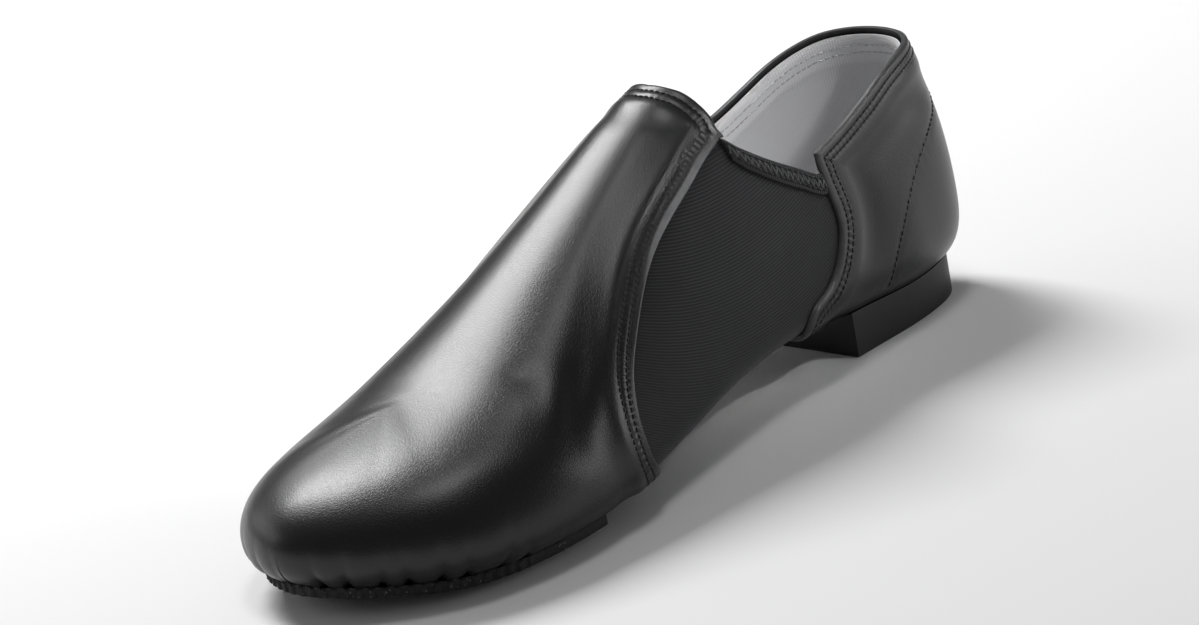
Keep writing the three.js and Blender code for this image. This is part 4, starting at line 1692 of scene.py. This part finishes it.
    def rim_runs(self, grid: Grid, distance: np.ndarray) -> list[Run]:
        """Stitch runs on the inside of the lining, parallel to the rim."""
        depth = self.lining_depth + self.lining_wall + self.fold_lift - self.dent
        runs = []
        for row in self.stitch_rows:
            at = Grid(contour(grid, distance, row, False))
            runs.append((at.lifted(-depth), -at.normals))
        return runs


@dataclass
class Bindings:
    """Elastic on the top edge of each gore, with cover stitches across it."""

    height: float = 5.5 * MM
    depth: float = 0.15 * MM
    wall: float = 1.0 * MM
    end_gap: float = 0.1 * MM
    roll: float = 0.4 * MM
    rows: int = 12
    columns: int = 40
    # Shares of the band's height: its two straight rows and the zigzag's two edges
    stitch_rows: tuple[float, float] = (0.22, 0.76)
    zigzag_rows: tuple[float, float] = (0.26, 0.72)
    valleys: tuple[float, float] = (-0.55, 0.5)
    valley_width: float = 0.16
    valley_depth: float = 0.15 * MM
    pitch: float = 2.1 * MM
    path_points: int = 60

    def grid(self, side: int) -> Grid:
        """One band, from its lower edge to the gore line."""
        rows = np.linspace(0.0, 1.0, self.rows + 1)
        start = LAST.quarter_front(side, np.ones_like(rows), self.end_gap)
        end = LAST.vamp_rear(side, np.ones_like(rows), -self.end_gap)

        def levels(u: np.ndarray, row: np.ndarray) -> np.ndarray:
            top = LAST.line_levels(side, u, LAST.GORE_LINE, LAST.instep_height)
            low = LAST.line_levels(side, u, LAST.GORE_LINE, LAST.instep_height, self.height)
            return low + (top - low) * row

        shares = np.linspace(0.0, 1.0, self.columns + 1)
        return zone(side, start, end, rows, shares, levels)

    def path(self, grid: Grid, height: float, count: int) -> Run:
        """Points and directions along a band at one height, 0 to 1."""
        row = height * (grid.points.shape[0] - 1)
        low = int(min(row, grid.points.shape[0] - 2))
        t = row - low
        points = grid.lifted(-self.depth)
        line = points[low] * (1 - t) + points[low + 1] * t
        normals = grid.normals[low] * (1 - t) + grid.normals[low + 1] * t
        place = np.linspace(0.0, 1.0, count)
        own = np.linspace(0.0, 1.0, len(line))
        return read_line(place, own, line), read_line(place, own, normals)

    def cover(self, grid: Grid) -> list[Run]:
        """Runs of the zigzag between the two straight rows, one for each stitch."""
        length = run_along(grid.points[-1])[-1]
        count = int(length / self.pitch) * 2 + 1
        (low, low_normals), (high, high_normals) = (
            self.path(grid, row, count) for row in self.zigzag_rows
        )
        is_low = (np.arange(count) % 2 == 0)[:, None]
        zigzag = np.where(is_low, low, high)
        normals = np.where(is_low, low_normals, high_normals)
        return [
            (np.stack([zigzag[i], (zigzag[i] + zigzag[i + 1]) / 2, zigzag[i + 1]]),
             np.stack([normals[i], normals[i], normals[i + 1]]))
            for i in range(count - 1)
        ]

    def build(self, finishes: Finishes) -> None:
        """Makes both bands and their stitches."""
        straight: list[Run] = []
        cover: list[Run] = []
        for side, node in ((OUTER_SIDE, "binding_left"), (INNER_SIDE, "binding_right")):
            grid = self.grid(side)
            across = np.linspace(-1.0, 1.0, self.rows + 1)[:, None]
            crown = -self.roll * np.abs(across) ** 6 * np.ones_like(grid.places.u)
            valleys = sum(
                np.exp(-(((across - place) / self.valley_width) ** 2)) for place in self.valleys
            )
            lift = crown - self.valley_depth * valleys - self.depth
            inner = grid.lifted(-self.depth - self.wall)
            shell = Shell(f"{node}_elastic")
            shell.add(grid, grid.lifted(lift), inner, cloth=Sock.cloth(grid))
            fit(shell.build(), finishes.elastic, Slot.ELASTIC, node)
            straight += [self.path(grid, height, self.path_points) for height in self.stitch_rows]
            cover += self.cover(grid)
        sew("binding_stitches", Stitching(pitch=self.pitch, share=0.86), straight, finishes.thread)
        zigzag = Stitching(pitch=9 * MM, share=0.96, radius=0.2 * MM, proud=0.2 * MM)
        sew("binding_cover_stitches", zigzag, cover, finishes.cover_thread)


@dataclass
class Insole:
    """Thin cloth-faced pad on the floor of the shoe."""

    depth: float = 3.2 * MM
    thickness: float = 2.0 * MM
    edge_level: float = -0.4
    columns: int = 120
    rows: int = 14
    edge_round: float = 0.9 * MM

    def build(self, finishes: Finishes) -> None:
        """Makes the insole."""
        shell = Shell("insole_pad")
        across = np.linspace(0.0, 1.0, self.rows + 1)
        rows = np.linspace(-1.0, self.edge_level, self.rows + 1)
        start = np.zeros_like(rows)
        shares = np.linspace(0.0, 1.0, self.columns + 1)
        for side in SIDES:
            grid = zone(side, start, start + 1, rows, shares, lambda u, row: row)
            rounding = (self.edge_round * smooth_step(0.8, 1.0, across) ** 2)[:, None]
            top = self.depth + self.thickness - np.broadcast_to(rounding, grid.places.u.shape)
            shell.add(grid, grid.lifted(-self.depth), grid.lifted(-top))
        fit(shell.build(), finishes.insole, Slot.INSOLE, "insole")


@dataclass
class FrontSole:
    """Split sole's front pad: flat under the ball, lifted at the toe, ribbed round the toe's edge."""

    edge_thickness: float = 3.0 * MM
    edge_level: float = -0.45
    rear_end: float = 175 * MM
    rib_pitch: float = 3.2 * MM
    rib_depth: float = 0.5 * MM
    ribbed_run: float = 64 * MM
    rib_fade: float = 4 * MM
    columns: int = 300
    rows: int = 10
    edge_rows: int = 7
    round_off: float = 0.55 * MM
    roughness: float = 0.06 * MM

    def side_grid(self, side: int) -> Grid:
        """Half of the pad, from its middle line to its edge."""
        rows = np.linspace(-1.0, self.edge_level, self.rows + 1)
        start = LAST.crossing(side, lambda u: rows, np.full_like(rows, self.rear_end))
        shares = np.linspace(0.0, 1.0, self.columns + 1) ** 0.85
        return zone(side, start, np.ones_like(start), rows, shares, lambda u, row: row)

    def ribs(self, rim: np.ndarray) -> np.ndarray:
        """How far the ribs stand out at each point of the pad's upper edge."""
        run = run_along(rim)
        from_tip = run[-1] - run
        ribbed = 1 - smooth_step(self.ribbed_run - self.rib_fade, self.ribbed_run, from_tip)
        wave = 0.5 - 0.5 * np.cos(2 * np.pi * from_tip / self.rib_pitch)
        return self.rib_depth * ribbed * smooth_step(0.25, 0.75, wave)

    def half(self, side: int, rng: np.random.Generator) -> np.ndarray:
        """Rows of points over one half of the pad: its top, its edge and its bottom.

        Args:
            side: +1 or -1.
            rng: Where the cut edge's roughness comes from.

        Returns:
            The points, row by row from the middle of the top to the middle of the bottom.
        """
        grid = self.side_grid(side)
        top = grid.lifted(LAST.piece_gap)
        outward = unit(grid.normals[-1] * np.array([1.0, 1.0, 0.0]))
        rim = top[-1]
        ribs = self.ribs(rim)
        ragged = rng.normal(0.0, self.roughness, (self.edge_rows, len(rim)))
        ragged[:, -1] = 0.0
        floor = np.maximum(rim[:, 2] - self.edge_thickness, 0.0)
        sheets = [top]
        for index in range(self.edge_rows):
            t = (index + 1) / (self.edge_rows + 1)
            corner = np.clip(1 - (1 - t) * (self.edge_rows + 1) / 2, 0.0, 1.0)
            out = ribs + ragged[index] - self.round_off * corner**2
            ring = rim + outward * out[:, None]
            ring[:, 2] = rim[:, 2] + (floor - rim[:, 2]) * t
            sheets.append(ring[None])
        bottom = top.copy()
        bottom[-1] += outward * (ribs - self.round_off * 1.6)[:, None]
        bottom[..., 2] = np.maximum(bottom[..., 2] - self.edge_thickness, 0.0)
        sheets.append(bottom[::-1])
        return np.concatenate(sheets)

    def build(self, finishes: Finishes) -> None:
        """Makes the pad from its two halves."""
        rng = np.random.default_rng(5)
        points, faces, cut, worn = [], [], [], []
        for side in SIDES:
            half = self.half(side, rng)
            rows, columns = half.shape[:2]
            row = np.repeat(np.arange(rows), columns)
            edge_end = self.rows + 1 + self.edge_rows
            cut.append(((row >= self.rows) & (row <= edge_end)).astype(float))
            worn.append((row >= edge_end).astype(float))
            faces.append(Shell.quads(rows, columns, sum(len(part) for part in points), side))
            points.append(half.reshape(-1, 3))
        values = {"cut": np.concatenate(cut), "worn": np.concatenate(worn)}
        self.close(np.concatenate(points), np.concatenate(faces), values, finishes)

    @staticmethod
    def close(
        points: np.ndarray, faces: np.ndarray, values: dict[str, np.ndarray], finishes: Finishes
    ) -> None:
        """Welds the two halves, closes the straight rear end and makes the object."""
        first, cells = welded(points, faces)
        follow = {b: a for a, b in free_edges(cells)}
        start = next(iter(follow))
        loop = [start]
        while follow[loop[-1]] != start:
            loop.append(follow[loop[-1]])
        kept = {key: value[first] for key, value in values.items()}
        piece = object_from("front_sole_pad", points[first], [*cells, loop], kept)
        fit(piece, finishes.sole, Slot.SOLE, "front_sole")


@dataclass
class HeelBlock:
    """D-shaped rubber block under the heel seat."""

    breast: float = 59 * MM
    edge_level: float = -0.5
    rows: int = 14
    columns: int = 80
    bevel: float = 0.7 * MM
    sharp_angle: float = 40.0

    def build(self, finishes: Finishes) -> None:
        """Makes the block and rounds its lower edge."""
        shell = Shell("heel_block")
        rows = np.linspace(-1.0, self.edge_level, self.rows + 1)
        for side in SIDES:
            end = LAST.crossing(side, lambda u: rows, np.full_like(rows, self.breast))
            shares = np.linspace(0.0, 1.0, self.columns + 1)
            grid = zone(side, np.zeros_like(end), end, rows, shares, lambda u, row: row)
            top = grid.lifted(LAST.piece_gap)
            bottom = top.copy()
            bottom[..., 2] = 0.0
            level = np.zeros(top.shape[:2])
            shell.add(grid, bottom, top, cut=level, worn=level)
        piece = shell.build()
        work = bmesh.new()
        work.from_mesh(piece.data)
        floor_edges = [
            edge for edge in work.edges
            if len(edge.link_faces) == 2
            and max(vert.co.z for vert in edge.verts) < 1e-6
            and edge.calc_face_angle(0.0) > math.radians(self.sharp_angle)
        ]
        bmesh.ops.bevel(
            work, geom=floor_edges, offset=self.bevel, segments=3, profile=0.5, affect="EDGES"
        )
        work.to_mesh(piece.data)
        work.free()
        piece.data.shade_smooth()
        piece.data.set_sharp_from_angle(angle=math.radians(self.sharp_angle))
        fit(piece, finishes.heel, Slot.HEEL, "heel")


@dataclass(frozen=True)
class Lamp:
    """A soft rectangular light: sizes in metres, power in watts, its cone in degrees."""

    name: str
    place: tuple[float, float, float]
    aim: tuple[float, float, float]
    size: tuple[float, float]
    power: float
    cone: float = 180.0

    def hang(self) -> None:
        """Adds the light to the scene."""
        data = bpy.data.lights.new(self.name, "AREA")
        data.shape = "RECTANGLE"
        data.size, data.size_y = self.size
        data.energy = self.power
        data.spread = math.radians(self.cone)
        light = bpy.data.objects.new(self.name, data)
        bpy.context.scene.collection.objects.link(light)
        place = Vector(self.place)
        facing = (Vector(self.aim) - place).to_track_quat("-Z", "Y").to_matrix().to_4x4()
        light.matrix_world = Matrix.Translation(place) @ facing


@dataclass
class Studio:
    """Pale floor, soft lights and the camera at the photograph's angle."""

    azimuth: float = 43.61
    elevation: float = 19.29
    roll: float = -10.33
    distance: float = 1.5817
    focal_share: float = 6457.5 / 1199
    closeness: float = 0.955
    sensor: float = 36.0
    target: tuple[float, float, float] = (-0.0040, -0.0027, 0.035)
    floor_half: float = 6.0
    floor_colour: Colour = (0.92, 0.92, 0.92)
    surround: float = 0.14
    # One lamp above and behind for the band along the vamp, two for the lining, one for the
    # quarter and one behind for the outline
    lamps: tuple[Lamp, ...] = (
        Lamp("above", (-0.18, -0.98, 1.15), (-0.18, -0.98, 0.0), (0.42, 0.9), 25.0),
        Lamp("throat", (0.0, 0.10, 1.2), (0.0, 0.0, 0.04), (0.26, 0.26), 2.0),
        Lamp("collar_fill", (-0.20, 0.408, 0.45), (-0.050, -0.022, 0.06), (0.10, 0.10), 0.02, 12.0),
        Lamp("heel_side", (-1.0, 0.75, 0.18), (0.0, 0.0, 0.04), (0.7, 0.5), 3.2),
        Lamp("rear_fill", (0.5, -1.3, 0.5), (0.0, 0.0, 0.04), (1.2, 0.5), 2.5),
    )

    def basis(self) -> tuple[Vector, Vector, Vector]:
        """The camera's right, up and backward directions."""
        azimuth, elevation, roll = (
            math.radians(angle) for angle in (self.azimuth, self.elevation, self.roll)
        )
        back = Vector((
            math.sin(azimuth) * math.cos(elevation),
            math.cos(azimuth) * math.cos(elevation),
            math.sin(elevation),
        ))
        right = Vector((0, 0, 1)).cross(back).normalized()
        up = back.cross(right)
        rolled_right = right * math.cos(roll) + up * math.sin(roll)
        rolled_up = up * math.cos(roll) - right * math.sin(roll)
        return rolled_right, rolled_up, back

    def add_camera(self) -> None:
        """Sets the camera on the photograph's line of sight, with the shoe in the middle."""
        right, up, back = self.basis()
        data = bpy.data.cameras.new("camera")
        data.sensor_width = self.sensor
        data.lens = self.sensor * self.focal_share * self.closeness
        data.clip_start, data.clip_end = 0.05, 50.0
        camera = bpy.data.objects.new("camera", data)
        bpy.context.scene.collection.objects.link(camera)
        place = Vector(self.target) + back * self.distance
        offsets = self.shown_points() - np.array(place)
        depth = -(offsets @ np.array(back))
        spans = []
        for axis in (right, up):
            seen = (offsets @ np.array(axis)) / depth
            spans.append(float(seen.min() + seen.max()) / 2)
        forward = (-back + right * spans[0] + up * spans[1]).normalized()
        back = -forward
        right = (right - back * right.dot(back)).normalized()
        up = back.cross(right)
        turn = Matrix((right, up, back)).transposed()
        camera.matrix_world = Matrix.Translation(place) @ turn.to_4x4()
        bpy.context.scene.camera = camera
        log.info("camera at %s", tuple(place))

    @staticmethod
    def shown_points() -> np.ndarray:
        """Every vertex of the dressed shoe."""
        parts = []
        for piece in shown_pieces():
            flat = np.empty(len(piece.data.vertices) * 3, np.float32)
            piece.data.vertices.foreach_get("co", flat)
            parts.append(flat.reshape(-1, 3))
        return np.concatenate(parts).astype(float)

    def add_floor(self) -> None:
        """A plain pale floor under the shoe."""
        half = self.floor_half
        mesh = bpy.data.meshes.new("floor")
        corners = [(-half, -half, 0), (half, -half, 0), (half, half, 0), (-half, half, 0)]
        mesh.from_pydata(corners, [], [(0, 1, 2, 3)])
        floor = bpy.data.objects.new("floor", mesh)
        bpy.context.scene.collection.objects.link(floor)
        g = Graph("floor_paper")
        g.set(Base_Color=self.floor_colour, Roughness=0.9, Specular_IOR_Level=0.1)
        mesh.materials.append(g.material)
        floor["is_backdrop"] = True

    def add_lights(self) -> None:
        """The lamps and a pale surround."""
        for lamp in self.lamps:
            lamp.hang()
        world = bpy.data.worlds.new("surround")
        world.use_nodes = True
        background = world.node_tree.nodes["Background"]
        background.inputs["Color"].default_value = (1, 1, 1, 1)
        background.inputs["Strength"].default_value = self.surround
        bpy.context.scene.world = world
        bpy.context.scene.view_settings.view_transform = "Standard"

    def build(self) -> None:
        """Sets up the floor, the lights and the camera."""
        self.add_floor()
        self.add_lights()
        self.add_camera()


def main() -> None:
    """Builds the shoe piece by piece, then the studio."""
    logging.basicConfig(level=logging.INFO, format="%(name)s %(message)s")
    finishes = Finishes()
    for part in (Vamp(), Quarter(), Sock(), Bindings(), Insole(), FrontSole(), HeelBlock()):
        part.build(finishes)
    Studio().build()


if __name__ == "__main__":
    main()
